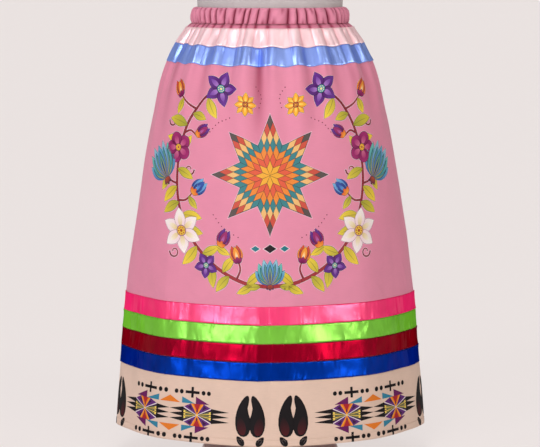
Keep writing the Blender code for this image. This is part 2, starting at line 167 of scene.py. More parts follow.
# height, half width, half depth and lean of each section, as the torso's solid has them
TORSO = np.array([
    (0.650, 0.1780, 0.1340, 0.000), (0.700, 0.1870, 0.1400, 0.000), (0.760, 0.1900, 0.1430, 0.000),
    (0.820, 0.1840, 0.1380, 0.000), (0.870, 0.1700, 0.1270, 0.000), (0.912, 0.1534, 0.1150, 0.000),
    (0.962, 0.1534, 0.1150, 0.000), (1.010, 0.1570, 0.1170, -0.001), (1.060, 0.1640, 0.1210, -0.004),
    (1.110, 0.1720, 0.1280, -0.010), (1.160, 0.1790, 0.1370, -0.016), (1.210, 0.1810, 0.1330, -0.013),
    (1.260, 0.1800, 0.1170, -0.005), (1.305, 0.1740, 0.1000, 0.001), (1.340, 0.1520, 0.0870, 0.006),
    (1.365, 0.1130, 0.0740, 0.009), (1.385, 0.0780, 0.0640, 0.010), (1.410, 0.0590, 0.0570, 0.009),
    (1.450, 0.0550, 0.0550, 0.006),
])
TORSO_ROWS = 130
TORSO_COLUMNS_BETWEEN_SEAMS = 14
TORSO_SHARP_ANGLE = 50  # degrees, past which an edge is shown sharp
WELD_REACH = 0.00001
BANDS_A_METRE = 20 / (2 * math.pi)  # of a wave texture at a scale of 1
SLUB_STRETCH = (60.0, 900.0, 1.0)
CLOUDS_A_METRE = 22.0
# a mix node's sockets for colours, which come after those for numbers and vectors
MIX_FIRST, MIX_SECOND, MIX_RESULT = 6, 7, 2


def turn_from(middle, angle):
    """The turn from a middle to an angle, between -180 and 180 degrees."""
    return (angle - middle + 180.0) % 360.0 - 180.0


def eased(places, values, at):
    """A smooth curve through a table's values, read at any places."""
    slopes = np.gradient(values, places)
    row = np.clip(np.searchsorted(places, at) - 1, 0, len(places) - 2)
    step = places[row + 1] - places[row]
    s = (at - places[row]) / step
    start = values[row] * (1 + 2 * s) * (1 - s) ** 2 + slopes[row] * step * s * (1 - s) ** 2
    return start + values[row + 1] * s**2 * (3 - 2 * s) + slopes[row + 1] * step * s**2 * (s - 1)


def raised(value, power):
    """A power of a sine or cosine that keeps its sign."""
    return np.copysign(np.abs(value) ** power, value)


def oval_place(angle, half_width, half_depth, stand_off, height, tautness=1.0):
    """Points on a closed section round the Z axis, moved out square to the section."""
    across, along = np.sin(np.radians(angle)), -np.cos(np.radians(angle))
    x, y = half_width * raised(across, tautness), half_depth * raised(along, tautness)
    slope = 2.0 - tautness
    out_x, out_y = half_depth * raised(across, slope), half_width * raised(along, slope)
    size = np.hypot(out_x, out_y)
    return np.stack([x + stand_off * out_x / size, y + stand_off * out_y / size, height], axis=-1)


def map_cloth(mesh, metres):
    """Gives a mesh its cloth's UV map, from the place on the cloth of each of its points."""
    corner = np.empty(len(mesh.loops), int)
    mesh.loops.foreach_get("vertex_index", corner)
    mesh.uv_layers.new(name="cloth").data.foreach_set("uv", metres[corner].ravel())


def laid_grid(name, across, down, place, zero=0.0, hollow=None):
    """A mesh grid with a column at each value of across and a row at each value of down, laid where
    place says. It has a UV map in metres: the way along its rows from the column at zero, and down.
    Where hollow is given, it says how deep in a fold each point lies, from 0 to 1, for the painted shade
    there."""
    builder = bmesh.new()
    bmesh.ops.create_grid(builder, x_segments=len(across) - 1, y_segments=len(down) - 1, size=0.5)
    mesh = bpy.data.meshes.new(name)
    builder.to_mesh(mesh)
    builder.free()
    flat = np.empty(len(mesh.vertices) * 3)
    mesh.vertices.foreach_get("co", flat)
    shares = flat.reshape(-1, 3) + 0.5
    column = np.rint(shares[:, 0] * (len(across) - 1)).astype(int)
    row = np.rint((1 - shares[:, 1]) * (len(down) - 1)).astype(int)
    columns, rows = np.meshgrid(across, down)
    grid = place(columns, rows)
    mesh.vertices.foreach_set("co", grid[row, column].ravel())
    steps = np.linalg.norm(np.diff(grid, axis=1), axis=2)
    arcs = np.concatenate([np.zeros((len(down), 1)), np.cumsum(steps, axis=1)], axis=1)
    arcs -= np.array([np.interp(zero, across, arc) for arc in arcs])[:, None]
    falls = np.concatenate([[0], np.cumsum(np.linalg.norm(np.diff(grid, axis=0), axis=2).mean(axis=1))])
    map_cloth(mesh, np.stack([arcs[row, column], -falls[row]], axis=1))
    if hollow is not None:
        depths = np.clip(hollow(columns, rows), 0.0, 1.0)
        mesh.attributes.new("hollow", "FLOAT", "POINT").data.foreach_set("value", depths[row, column])
    mesh.update()
    return mesh, grid, arcs


def weld_round(mesh, ends="open"):
    """Joins a tube's first and last columns. Its two ends stay open, or are filled or bridged to each
    other, and then all its faces are turned outward."""
    builder = bmesh.new()
    builder.from_mesh(mesh)
    bmesh.ops.remove_doubles(builder, verts=builder.verts, dist=WELD_REACH)
    if ends == "filled":
        bmesh.ops.holes_fill(builder, edges=builder.edges, sides=0)
    elif ends == "bridged":
        bmesh.ops.bridge_loops(builder, edges=[edge for edge in builder.edges if edge.is_boundary])
    if ends != "open":
        bmesh.ops.recalc_face_normals(builder, faces=builder.faces)
    builder.to_mesh(mesh)
    builder.free()


def link_in(name, data):
    """A new object in the scene for a mesh, a light or a camera."""
    made = bpy.data.objects.new(name, data)
    bpy.context.scene.collection.objects.link(made)
    return made


def put_in(name, mesh, finish, replaces=()):
    """Puts a piece in the scene on the frame's one body, with its finish."""
    mesh.materials.append(finish)
    mesh.shade_smooth()
    piece = link_in(name, mesh)
    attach(piece, "root")
    if replaces:
        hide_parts(*replaces)
    return piece


def cloth_map(tree):
    return add_node(tree, "ShaderNodeUVMap", uv_map="cloth").outputs["UV"]


def mixed(tree, share, first, second, **settings):
    """Two colours mixed by the share of the second."""
    inputs = [("Factor", share), (MIX_FIRST, first), (MIX_SECOND, second)]
    return add_node(tree, "ShaderNodeMix", inputs, data_type="RGBA", **settings).outputs[MIX_RESULT]


def deepened(tree, colour, deep):
    """The colour, going over to a darker, deeper one where the cloth lies in the hollow of a fold: painted
    shade.
    """
    hollow = add_node(tree, "ShaderNodeAttribute", attribute_name="hollow").outputs["Fac"]
    return mixed(tree, hollow, colour, screen_colour(*deep))


def weave(tree, shader, colour, thread, strength, tone=0.05, deep=None):
    """A plain weave on the cloth's own UV map, with slightly uneven threads and tone."""
    place = cloth_map(tree)
    scale = 1 / (thread * BANDS_A_METRE)
    inputs = [("Vector", place), ("Scale", scale), ("Distortion", 0.6), ("Detail", 1.0)]
    bands = []
    for way in "XY":
        settings = {"wave_type": "BANDS", "wave_profile": "SIN", "bands_direction": way}
        bands.append(add_node(tree, "ShaderNodeTexWave", inputs, **settings).outputs["Fac"])
    threads = add_node(tree, "ShaderNodeMath", enumerate(bands), operation="MULTIPLY").outputs[0]
    slub = noise(tree, stretched(tree, place, *SLUB_STRETCH), 1.0)
    cloudy = noise(tree, place, CLOUDS_A_METRE, 4.0)
    tones = shade(colour, 1 - tone), shade(colour, 1 + tone)
    toned = mixed(tree, 0.5, two_colours(tree, slub, *tones), two_colours(tree, cloudy, *tones))
    # painted shade: the colour goes over to deep where the cloth lies in the hollow of a fold
    if deep:
        toned = deepened(tree, toned, deep)
    normal = bump(tree, threads, thread / 2, strength)
    set_inputs(tree, shader, [("Base Color", toned), ("Normal", normal)])


def torso_place(angle, height):
    half_width, half_depth, lean = (eased(TORSO[:, 0], TORSO[:, n], height) for n in (1, 2, 3))
    away = np.min([np.abs(turn_from(seam, angle)) for seam in COVER_SEAMS], axis=0)
    sunk = COVER_SEAM_DEPTH * np.clip(1 - away / COVER_SEAM_HALF_WIDTH, 0, 1)
    place = oval_place(angle, half_width, half_depth, -sunk, height)
    place[..., 1] += lean
    return place


around = []
for seam, following in zip(COVER_SEAMS, COVER_SEAMS[1:] + (360.0,)):
    gore = (seam + COVER_SEAM_HALF_WIDTH, following - COVER_SEAM_HALF_WIDTH)
    around += [seam, *np.linspace(*gore, TORSO_COLUMNS_BETWEEN_SEAMS)]
around.append(360.0)
heights = np.linspace(TORSO[-1, 0], TORSO[0, 0], TORSO_ROWS)
mesh, _, _ = laid_grid("form_linen_cover", around, heights, torso_place)
weld_round(mesh, "filled")
linen, tree, shader = new_finish("linen_cover", 0.92, inputs=[("Sheen Weight", 0.15)])
weave(tree, shader, LINEN, LINEN_THREAD, strength=0.5)
torso = put_in("form_linen_cover", mesh, linen, ["form_body"])
torso.data.set_sharp_from_angle(angle=math.radians(TORSO_SHARP_ANGLE))

# ------------------------------------------------------------------ the neck cap
# A turned wooden cap, waxed, pinned on the torso's neck. Its grain runs across the top.

CAP_WOOD = ((112, 84, 60), (146, 112, 82))
GRAIN_STRETCH = (9.0, 120.0, 60.0)

wood, tree, shader = new_finish("waxed_wood", 0.38, inputs=[("Coat Weight", 0.25), ("Coat Roughness", 0.25)])
grain = noise(tree, stretched(tree, body_place(tree), *GRAIN_STRETCH), 1.0, 5.0)
grained(tree, shader, grain, *CAP_WOOD, distance=0.0003, strength=0.4)
dress("form_neck_cap", wood)

# ------------------------------------------------------------------ the skirt's front and back
# Two A-line panels of pink cotton broadcloth, plain woven, sewn to each other at the side seams. They
# are gathered into the waist, fall in soft folds over the hips and keep the press of having been
# folded away. Each is a thin shell on the form of its own solid.

HEM_HEIGHT = 0.060
SKIRT_LENGTH = 0.891
WAIST_TOP = HEM_HEIGHT + SKIRT_LENGTH
CASING_DEPTH = 0.0330
RIBBON_WIDTH = 0.0381
UPPER_RIBBONS_DROP = 0.0420
LOWER_RIBBONS_DROP = 0.6040
PANEL_JOINT_DROP = LOWER_RIBBONS_DROP + 3.5 * RIBBON_WIDTH
SEAM_GAP = 0.0003
SEAM_ANGLE = 90.0

# drop, half width, depth as a share of width, tautness
LEVELS = np.array([
    (0.0330, 0.1672, 0.752, 1.00), (0.0420, 0.1745, 0.755, 1.00), (0.0594, 0.1842, 0.758, 1.00),
    (0.0805, 0.1966, 0.764, 1.00), (0.1121, 0.2126, 0.771, 1.00), (0.1544, 0.2288, 0.774, 1.01),
    (0.1968, 0.2404, 0.774, 1.03), (0.2477, 0.2517, 0.771, 1.05), (0.3244, 0.2658, 0.768, 1.08),
    (0.4272, 0.2828, 0.763, 1.12), (0.5304, 0.2978, 0.759, 1.15), (0.6342, 0.3102, 0.756, 1.17),
    (0.7385, 0.3194, 0.754, 1.17), (0.8171, 0.3262, 0.754, 1.17), (0.8910, 0.3311, 0.754, 1.17),
])
# the soft folds: crest angle, how far it stands out, the drop where it has died away
FOLDS = [
    (-85.0, 0.0026, 0.25), (-74.0, 0.0034, 0.30), (-62.7, 0.0030, 0.24), (-47.9, 0.0036, 0.28),
    (-32.1, 0.0030, 0.33), (-14.2, 0.0040, 0.47), (1.2, 0.0033, 0.42), (15.7, 0.0042, 0.38),
    (31.7, 0.0030, 0.27), (52.8, 0.0038, 0.34), (70.5, 0.0034, 0.27), (84.0, 0.0026, 0.24),
    (96.0, 0.0028, 0.26), (109.0, 0.0036, 0.33), (124.0, 0.0030, 0.26), (141.0, 0.0040, 0.41),
    (155.0, 0.0030, 0.29), (172.0, 0.0038, 0.45), (186.0, 0.0032, 0.36), (201.0, 0.0040, 0.31),
    (219.0, 0.0033, 0.43), (233.0, 0.0030, 0.27), (249.0, 0.0037, 0.34), (263.0, 0.0027, 0.25),
]
TROUGH_SHARE = 0.85
FOLD_START_SHARE = 0.45
FOLD_FULL_DROP = 0.075
FOLD_FADE_DROP = 0.125
CREST_LIFT = 0.62
SIDE_LIFT = 0.0045
SIDE_LIFT_END = 0.30
SEAM_FLAT = 1.2
# the pressed creases: angle, height, spread before and after it
CREASES = [
    (-68.5, -0.0055, 16.0, 20.0), (-47.9, 0.0034, 15.0, 11.0), (-6.5, 0.0040, 20.0, 6.0),
    (42.25, 0.0034, 11.0, 12.0), (64.0, -0.0050, 17.0, 22.0), (116.5, -0.0048, 22.0, 15.0),
    (132.5, 0.0034, 13.0, 10.0), (179.0, 0.0040, 9.0, 17.0), (226.0, 0.0033, 14.0, 11.0),
    (245.0, -0.0050, 16.0, 21.0),
]
CREASE_START_DROP = 0.30
CREASE_FULL_DROP = 0.56
CREASE_EDGE = 0.5  # degrees over which a crease's edge is rounded
# the gathers of the front half: the angle of each valley and the height of the ridge after it. The
# back half has the same, half way round
GATHERS = [
    (-90.0, 0.0032), (-83.0, 0.0036), (-76.0, 0.0034), (-68.5, 0.0040), (-61.2, 0.0030),
    (-55.6, 0.0034), (-49.5, 0.0032), (-43.4, 0.0042), (-35.4, 0.0038), (-28.0, 0.0036),
    (-20.5, 0.0026), (-16.7, 0.0036), (-10.1, 0.0040), (-2.0, 0.0048), (13.2, 0.0036),
    (20.5, 0.0038), (28.6, 0.0040), (37.6, 0.0044), (48.6, 0.0044), (59.6, 0.0034),
    (65.3, 0.0030), (71.0, 0.0034), (77.5, 0.0034), (84.0, 0.0032),
]
GATHER_FADE = (0.050, 0.150)  # the drops between which the gathers melt into the folds
# slow waves over the whole cloth: waves once round, waves in each metre down, phase, height
WAVES = [
    (5, 2.2, 0.4, 0.0007), (8, -3.6, 2.1, 0.0005), (13, 5.2, 4.4, 0.00035), (19, -7.4, 1.2, 0.00022),
]
# small drag lines where a seam or a ribbon holds the cloth back: angle, drop, slant of the line from
# level in degrees, half length, half width, height
DRAG_LINES = [
    (-54.0, 0.585, 62.0, 0.020, 0.0050, 0.0009), (-34.0, 0.578, 48.0, 0.030, 0.0060, 0.0011),
    (-27.0, 0.590, -56.0, 0.022, 0.0050, 0.0010), (-16.0, 0.586, 40.0, 0.024, 0.0048, 0.0008),
    (4.0, 0.574, -38.0, 0.034, 0.0070, 0.0012), (11.0, 0.590, 58.0, 0.020, 0.0046, 0.0009),
    (20.0, 0.577, 35.0, 0.042, 0.0062, 0.0013), (29.0, 0.588, -60.0, 0.020, 0.0050, 0.0008),
    (51.0, 0.583, 52.0, 0.024, 0.0056, 0.0009), (73.0, 0.560, 70.0, 0.034, 0.0070, 0.0010),
    (108.0, 0.582, -50.0, 0.026, 0.0056, 0.0010), (127.0, 0.589, 60.0, 0.020, 0.0048, 0.0009),
    (146.0, 0.576, 38.0, 0.038, 0.0064, 0.0012), (163.0, 0.588, -52.0, 0.022, 0.0050, 0.0009),
    (177.0, 0.572, 34.0, 0.036, 0.0066, 0.0011), (193.0, 0.586, -58.0, 0.024, 0.0050, 0.0009),
    (214.0, 0.578, 44.0, 0.032, 0.0060, 0.0011), (238.0, 0.584, -60.0, 0.024, 0.0054, 0.0009),
    (-72.0, 0.330, 76.0, 0.060, 0.0080, 0.0011), (-38.0, 0.395, -70.0, 0.050, 0.0090, 0.0009),
    (66.0, 0.350, -74.0, 0.055, 0.0085, 0.0010), (33.0, 0.420, 66.0, 0.050, 0.0090, 0.0008),
    (131.0, 0.360, 72.0, 0.055, 0.0085, 0.0010), (204.0, 0.400, -68.0, 0.050, 0.0090, 0.0009),
]
# long folds that hang from the waist: angle, half width in degrees, height or depth, the drops where
# it is deepest and has died away, degrees of lean in each metre, how dark the shade painted in its hollow is
LONG_FOLDS = [
    (-6.4, 2.5, -0.0064, 0.100, 0.360, 3.0, 1.35), (-13.5, 5.0, 0.0030, 0.100, 0.400, 2.0, 0.0),
    (-1.2, 1.6, -0.0014, 0.080, 0.260, 2.0, 0.35), (8.0, 6.5, 0.0022, 0.110, 0.340, 3.0, 0.0),
    (20.5, 3.4, -0.0032, 0.090, 0.300, 6.0, 0.45), (26.0, 2.2, -0.0016, 0.080, 0.250, 8.0, 0.30),
    (-25.5, 3.2, -0.0026, 0.080, 0.240, -4.0, 0.35), (-37.5, 3.0, -0.0026, 0.085, 0.300, -5.0, 0.35),
    (-53.5, 5.0, 0.0024, 0.100, 0.330, -6.0, 0.0), (-61.5, 3.0, -0.0040, 0.090, 0.340, -8.0, 0.60),
    (-76.0, 3.4, -0.0030, 0.090, 0.260, -4.0, 0.30), (38.0, 3.2, -0.0026, 0.090, 0.270, 7.0, 0.30),
    (49.5, 2.8, -0.0030, 0.085, 0.330, 6.0, 0.40), (62.5, 3.2, -0.0034, 0.090, 0.300, 7.0, 0.45),
    (77.0, 3.4, -0.0028, 0.090, 0.260, 4.0, 0.30),
    (-31.5, 1.3, -0.0013, 0.070, 0.200, -4.0, 0.22), (-21.0, 1.2, -0.0014, 0.080, 0.230, 2.0, 0.24),
    (-17.2, 1.0, -0.0010, 0.070, 0.170, 1.0, 0.20), (-10.2, 1.0, -0.0012, 0.075, 0.210, 2.0, 0.22),
    (3.4, 1.2, -0.0012, 0.075, 0.190, 2.0, 0.22), (12.6, 1.1, -0.0012, 0.080, 0.220, 4.0, 0.20),
    (16.0, 1.0, -0.0010, 0.070, 0.180, 5.0, 0.18), (31.8, 1.2, -0.0014, 0.080, 0.230, 6.0, 0.24),
    (44.0, 1.2, -0.0012, 0.075, 0.200, 6.0, 0.20), (56.0, 1.3, -0.0014, 0.080, 0.240, 5.0, 0.22),
    (-44.5, 1.2, -0.0014, 0.075, 0.220, -5.0, 0.22), (-68.5, 1.4, -0.0014, 0.080, 0.230, -5.0, 0.22),
    (124.5, 1.2, -0.0013, 0.075, 0.210, 4.0, 0.22), (141.0, 1.2, -0.0013, 0.080, 0.230, 4.0, 0.22),
    (171.5, 1.1, -0.0013, 0.075, 0.210, 2.0, 0.22), (184.5, 1.0, -0.0011, 0.070, 0.180, -1.0, 0.20),
    (203.5, 1.3, -0.0014, 0.080, 0.230, -4.0, 0.22), (218.5, 1.2, -0.0013, 0.075, 0.200, -5.0, 0.20),
    (234.0, 1.3, -0.0013, 0.080, 0.220, -5.0, 0.20), (249.0, 1.2, -0.0012, 0.075, 0.200, -4.0, 0.20),
    (101.0, 3.2, -0.0030, 0.090, 0.300, 4.0, 0.35), (116.0, 3.0, -0.0034, 0.085, 0.320, 6.0, 0.45),
    (132.0, 3.4, -0.0030, 0.095, 0.270, 4.0, 0.35), (148.5, 2.8, -0.0042, 0.100, 0.360, 3.0, 0.70),
    (157.0, 5.5, 0.0026, 0.105, 0.380, 3.0, 0.0), (166.0, 2.6, -0.0024, 0.085, 0.250, 2.0, 0.35),
    (179.0, 3.0, -0.0046, 0.100, 0.340, -3.0, 0.85), (188.5, 5.0, 0.0026, 0.100, 0.360, -2.0, 0.0),
    (196.0, 2.4, -0.0022, 0.085, 0.240, -3.0, 0.35), (211.0, 3.2, -0.0036, 0.095, 0.310, -5.0, 0.50),
    (226.0, 3.0, -0.0028, 0.090, 0.280, -6.0, 0.35), (241.5, 3.4, -0.0034, 0.090, 0.320, -6.0, 0.45),
    (256.0, 3.2, -0.0026, 0.085, 0.250, -4.0, 0.30),
]
LONG_FOLD_START = 0.036
LONG_FOLD_WIDENING = 0.9  # how much wider it has grown where it dies away
# the gathers under the casing: how high they stand beside its own, how round they are, and the part
# of a ridge that is taken off, so that the cloth keeps its place on the whole
GATHER_SHARE, GATHER_ROUNDNESS, GATHER_MEAN = 1.1, 0.62, 0.72
# how dark the painted shade is at the seam under the casing, between the gathers, how much more so close
# to that seam, and in the long folds; and the drops between which the first three die away
SEAM_PAINTED_SHADE, GATHER_PAINTED_SHADE, NEAR_SEAM_PAINTED_SHADE, FOLD_PAINTED_SHADE = 0.22, 0.95, 0.7, 0.66
SEAM_SHADE_FADE = (0.036, 0.044)
GATHER_SHADE_FADE = (0.040, 0.120)
NEAR_SEAM_FADE = (0.040, 0.050)
GATHER_SHADE_POWER, FOLD_SHADE_POWER = 2.5, 1.4
WAVE_GROWTH = (0.06, 0.20)  # the drops between which the slow waves begin
METRES_A_DEGREE = 0.0048  # along the cloth, about where the drag lines are
PINCH = 0.0030  # how far the cloth is drawn in along the gathered seam under the casing
PINCH_END = 0.0410
BROADCLOTH = (221, 136, 162)
# the broadcloth's colour in painted shade, deep in its folds and valleys
BROADCLOTH_PAINTED_SHADE = (146, 44, 76)
BROADCLOTH_THREAD = 0.0005
CLOTH_SHELL = 0.0007
PANEL_COLUMNS = 240
PANEL_ROW = 0.0048


def smoothstep(start, end, value):
    share = np.clip((value - start) / (end - start), 0.0, 1.0)
    return share * share * (3 - 2 * share)


def turned_to(angle):
    """The angle brought to between -90 and 270 degrees, where the tables run."""
    return (angle + 90.0) % 360.0 - 90.0


def fold_knots():
    """The folds' crests and troughs once round, as angle, height and reach. Troughs that are held
    flat lie at the side seams."""
    half = len(FOLDS) // 2
    knots = []
    for first, folds, before, after in (
        (-SEAM_ANGLE, FOLDS[:half], FOLDS[-1], FOLDS[half]),
        (SEAM_ANGLE, FOLDS[half:], FOLDS[half - 1], FOLDS[0]),
    ):
        ends = [before, *folds, after]
        for number, (one, other) in enumerate(zip(ends, ends[1:])):
            height = -TROUGH_SHARE * (one[1] + other[1]) / 2
            reach = (one[2] + other[2]) / 2
            if number == 0:
                knots += [(first, height, reach), (first + SEAM_FLAT, height, reach), other]
            elif number == len(folds):
                knots.append((first + 2 * SEAM_ANGLE - SEAM_FLAT, height, reach))
            else:
                knots += [((one[0] + other[0]) / 2, height, reach), other]
    return np.array(knots + [(270.0, *knots[0][1:])])


KNOTS = fold_knots()


def fold_height(angle, drop):
    turned = turned_to(angle)
    after = np.clip(np.searchsorted(KNOTS[:, 0], turned, side="right"), 1, len(KNOTS) - 1)
    growth = smoothstep(CASING_DEPTH, FOLD_FULL_DROP, drop)
    ends = []
    for knot in (after - 1, after):
        fade = 1 - smoothstep(FOLD_FADE_DROP, KNOTS[knot, 2], drop)
        ends.append(KNOTS[knot, 1] * (FOLD_START_SHARE + (1 - FOLD_START_SHARE) * growth) * fade)
    share = smoothstep(KNOTS[after - 1, 0], KNOTS[after, 0], turned)
    return ends[0] + share * (ends[1] - ends[0])


def crease_height(angle, drop):
    height = np.zeros(np.broadcast(angle, drop).shape)
    for middle, size, before, after in CREASES:
        away = turn_from(middle, angle)
        spread = np.where(away > 0, after, before)
        rounded = np.hypot(away, CREASE_EDGE) - CREASE_EDGE
        height += size * np.maximum(0.0, 1 - rounded / spread)
    return height * smoothstep(CREASE_START_DROP, CREASE_FULL_DROP, drop)


GATHER_VALLEYS = np.array([v + turn for turn in (0.0, 180.0) for v, _ in GATHERS] + [270.0])
GATHER_HEIGHTS = np.array([h for _ in range(2) for _, h in GATHERS] + [GATHERS[0][1]])


def gather_place(angle):
    """Which gather an angle lies in, and how far through it, from 0 to 1."""
    turned = turned_to(angle)
    gather = np.searchsorted(GATHER_VALLEYS, turned, side="right") - 1
    gather = np.clip(gather, 0, len(GATHER_VALLEYS) - 2)
    start, end = GATHER_VALLEYS[gather], GATHER_VALLEYS[gather + 1]
    return gather, np.clip((turned - start) / (end - start), 0.0, 1.0)


def gather_height(angle, drop):
    """The gathers that run on below the casing, and melt into the folds."""
    gather, share = gather_place(angle)
    ridge = np.sin(math.pi * share) ** GATHER_ROUNDNESS - GATHER_MEAN
    return GATHER_SHARE * GATHER_HEIGHTS[gather] * ridge * (1 - smoothstep(*GATHER_FADE, drop))


# painted shade between the gathers, darkest in their valleys and dying away down the skirt
def gather_hollow(angle, drop):
    share = gather_place(angle)[1]
    between = (1 - np.sin(math.pi * share)) ** GATHER_SHADE_POWER
    return between * (1 - smoothstep(*GATHER_SHADE_FADE, drop))


def long_fold_part(fold, angle, drop):
    """How much of a long fold there is at any place, from 0 to 1."""
    middle, width, _, deepest, end, lean, _ = fold
    dying = smoothstep(deepest, end, drop)
    along = smoothstep(LONG_FOLD_START, deepest, drop) * (1 - dying)
    away = turn_from(middle + lean * drop, angle) / (width * (1 + LONG_FOLD_WIDENING * dying))
    return np.exp(-(away**2)) * along


def long_fold_height(angle, drop):
    return sum(fold[2] * long_fold_part(fold, angle, drop) for fold in LONG_FOLDS)


def cloth_hollow(angle, drop):
    """How deep the cloth lies in a hollow, for its colour alone: the painted shade that darkens it there."""
    seam = SEAM_PAINTED_SHADE * (1 - smoothstep(*SEAM_SHADE_FADE, drop))
    near_seam = 1 + NEAR_SEAM_PAINTED_SHADE * (1 - smoothstep(*NEAR_SEAM_FADE, drop))
    gathers = GATHER_PAINTED_SHADE * near_seam * gather_hollow(angle, drop)
    shown = [fold for fold in LONG_FOLDS if fold[6] > 0]
    folds = sum(fold[6] * long_fold_part(fold, angle, drop) ** FOLD_SHADE_POWER for fold in shown)
    return seam + gathers + FOLD_PAINTED_SHADE * folds


def wave_height(angle, drop):
    height = 0.0
    for around, down, phase, size in WAVES:
        height = height + size * np.sin(np.radians(around * angle) + 2 * math.pi * down * drop + phase)
    return height * smoothstep(*WAVE_GROWTH, drop)


def drag_height(angle, drop):
    height = np.zeros(np.broadcast(angle, drop).shape)
    for middle, level, slant, length, width, size in DRAG_LINES:
        along, down = turn_from(middle, angle) * METRES_A_DEGREE, drop - level
        across_line, along_line = math.sin(math.radians(slant)), math.cos(math.radians(slant))
        on = along * along_line + down * across_line
        off = down * along_line - along * across_line
        height += size * np.exp(-((on / length) ** 2) - (off / width) ** 2)
    return height


def lift(angle, drop):
    """How far the cloth is drawn up by its folds and, at the sides, by the figure's width."""
    side = SIDE_LIFT * np.sin(np.radians(angle)) ** 2 * (1 - smoothstep(FOLD_FADE_DROP, SIDE_LIFT_END, drop))
    return smoothstep(CASING_DEPTH, FOLD_FULL_DROP, drop) * (side + CREST_LIFT * fold_height(angle, drop))


def cloth_place(angle, drop, extra=0.0):
    """The outer face of the skirt's cloth at any angles and drops, moved out by extra."""
    half_width, ratio, tautness = (eased(LEVELS[:, 0], LEVELS[:, n], drop) for n in (1, 2, 3))
    forms = (fold_height, crease_height, gather_height, wave_height, drag_height, long_fold_height)
    pinched = PINCH * (1 - smoothstep(CASING_DEPTH, PINCH_END, drop))
    stand_off = sum(form(angle, drop) for form in forms) + extra - pinched
    height = WAIST_TOP - drop + lift(angle, drop)
    return oval_place(angle, half_width, half_width * ratio, stand_off, height, tautness)


def rows_between(start, end, step):
    return np.linspace(start, end, round((end - start) / step) + 1)


def seam_inset(drop):
    """The degrees by which a panel stops short of a side seam, for half the seam's gap."""
    half_depth = np.interp(drop, LEVELS[:, 0], LEVELS[:, 1] * LEVELS[:, 2])
    return np.degrees((SEAM_GAP / 2 / half_depth) ** (1 / np.interp(drop, LEVELS[:, 0], LEVELS[:, 3])))


def panel_place(angle, drop, extra=0.0):
    """The cloth's face, with a panel's own angles drawn in a little at both its seams."""
    middle = 0.0 if angle.min() < 0 else 180.0
    share = 1 - seam_inset(drop) / SEAM_ANGLE
    return cloth_place(middle + (angle - middle) * share, drop, extra)


def thin_shell(piece, wall, outward=False):
    thick = piece.modifiers.new("wall", "SOLIDIFY")
    thick.thickness = wall
    thick.offset = 1.0 if outward else -1.0
    thick.use_even_offset = True


def lay_panel(name, middle, drops, place, finish, slot, hollow=None):
    """A panel of cloth from side seam to side seam, in place of its solid, and its chart: its drops,
    its grid of places and the way along each row, by which a print is laid on it."""
    angles = np.linspace(middle - SEAM_ANGLE, middle + SEAM_ANGLE, PANEL_COLUMNS + 1)
    mesh, grid, arcs = laid_grid(name + "_cloth", angles, drops, place, middle, hollow)
    panel = put_in(name + "_cloth", mesh, finish, [name])
    thin_shell(panel, CLOTH_SHELL)
    return panel, (drops, grid, arcs)


broadcloth, tree, shader = new_finish("pink_broadcloth", 0.78, inputs=[
    ("Sheen Weight", 0.12), ("Sheen Roughness", 0.4), ("Specular IOR Level", 0.35),
])
weave(tree, shader, BROADCLOTH, BROADCLOTH_THREAD, strength=0.35, tone=0.02, deep=BROADCLOTH_PAINTED_SHADE)

drops = rows_between(CASING_DEPTH + SEAM_GAP, PANEL_JOINT_DROP - SEAM_GAP / 2, PANEL_ROW)
# the panels carry painted shade in their folds, by how deep in a hollow each point lies
pink = (drops, panel_place, broadcloth, "pink_cloth", cloth_hollow)
skirt_front, front_chart = lay_panel("skirt_front", 0.0, *pink)
skirt_back, _ = lay_panel("skirt_back", 180.0, *pink)

# ------------------------------------------------------------------ the printed front
# A heat-pressed print film on the front panel: an eight-pointed diamond star over a garland of simple
# flowers that hangs in a U. The inks lie on a thin white film that shows as a fine edge round
# each shape. Each shape is cut along the cloth's own grid, so it bends as the cloth does.

FILM_LIFT = 0.00012
INK_STEP = 0.00003
FILM_EDGE = 0.0014
LINE_EDGE = 0.00080
FILM_WHITE = (246, 226, 234)
LINE_DARK = (40, 18, 36)
PETAL_POINTS = 22
# a petal's drawn-in side: how far along it is deepest and how far it spreads, as shares of the length
HOLLOW_MIDDLE, HOLLOW_SPREAD = 0.70, 0.20
# a petal's lighter heart: where it starts, its length and its width, as shares of the petal's own
HEART_START, HEART_LENGTH, HEART_WIDTH = 0.14, 0.62, 0.42
CUT_REACH = 0.000001


def ink(art, shape, colours, level):
    """Colours a shape's points, sets its level above the cloth and adds it to a drawing. A drawing
    is a list of flat shapes in metres, x along the cloth and y down it."""
    layer = shape.verts.layers.float_color.new("ink")
    for vertex, colour in zip(shape.verts, colours):
        vertex[layer] = colour
        vertex.co.z = FILM_LIFT + INK_STEP * level
    art.append(shape)


def blend_colours(one, other, share):
    return tuple(a + (b - a) * share for a, b in zip(one, other))


def step_from(at, turn, distance):
    """The place at a distance from another, up the cloth when the turn is 0, and turned clockwise."""
    way = math.radians(turn)
    return at[0] + distance * math.sin(way), at[1] - distance * math.cos(way)


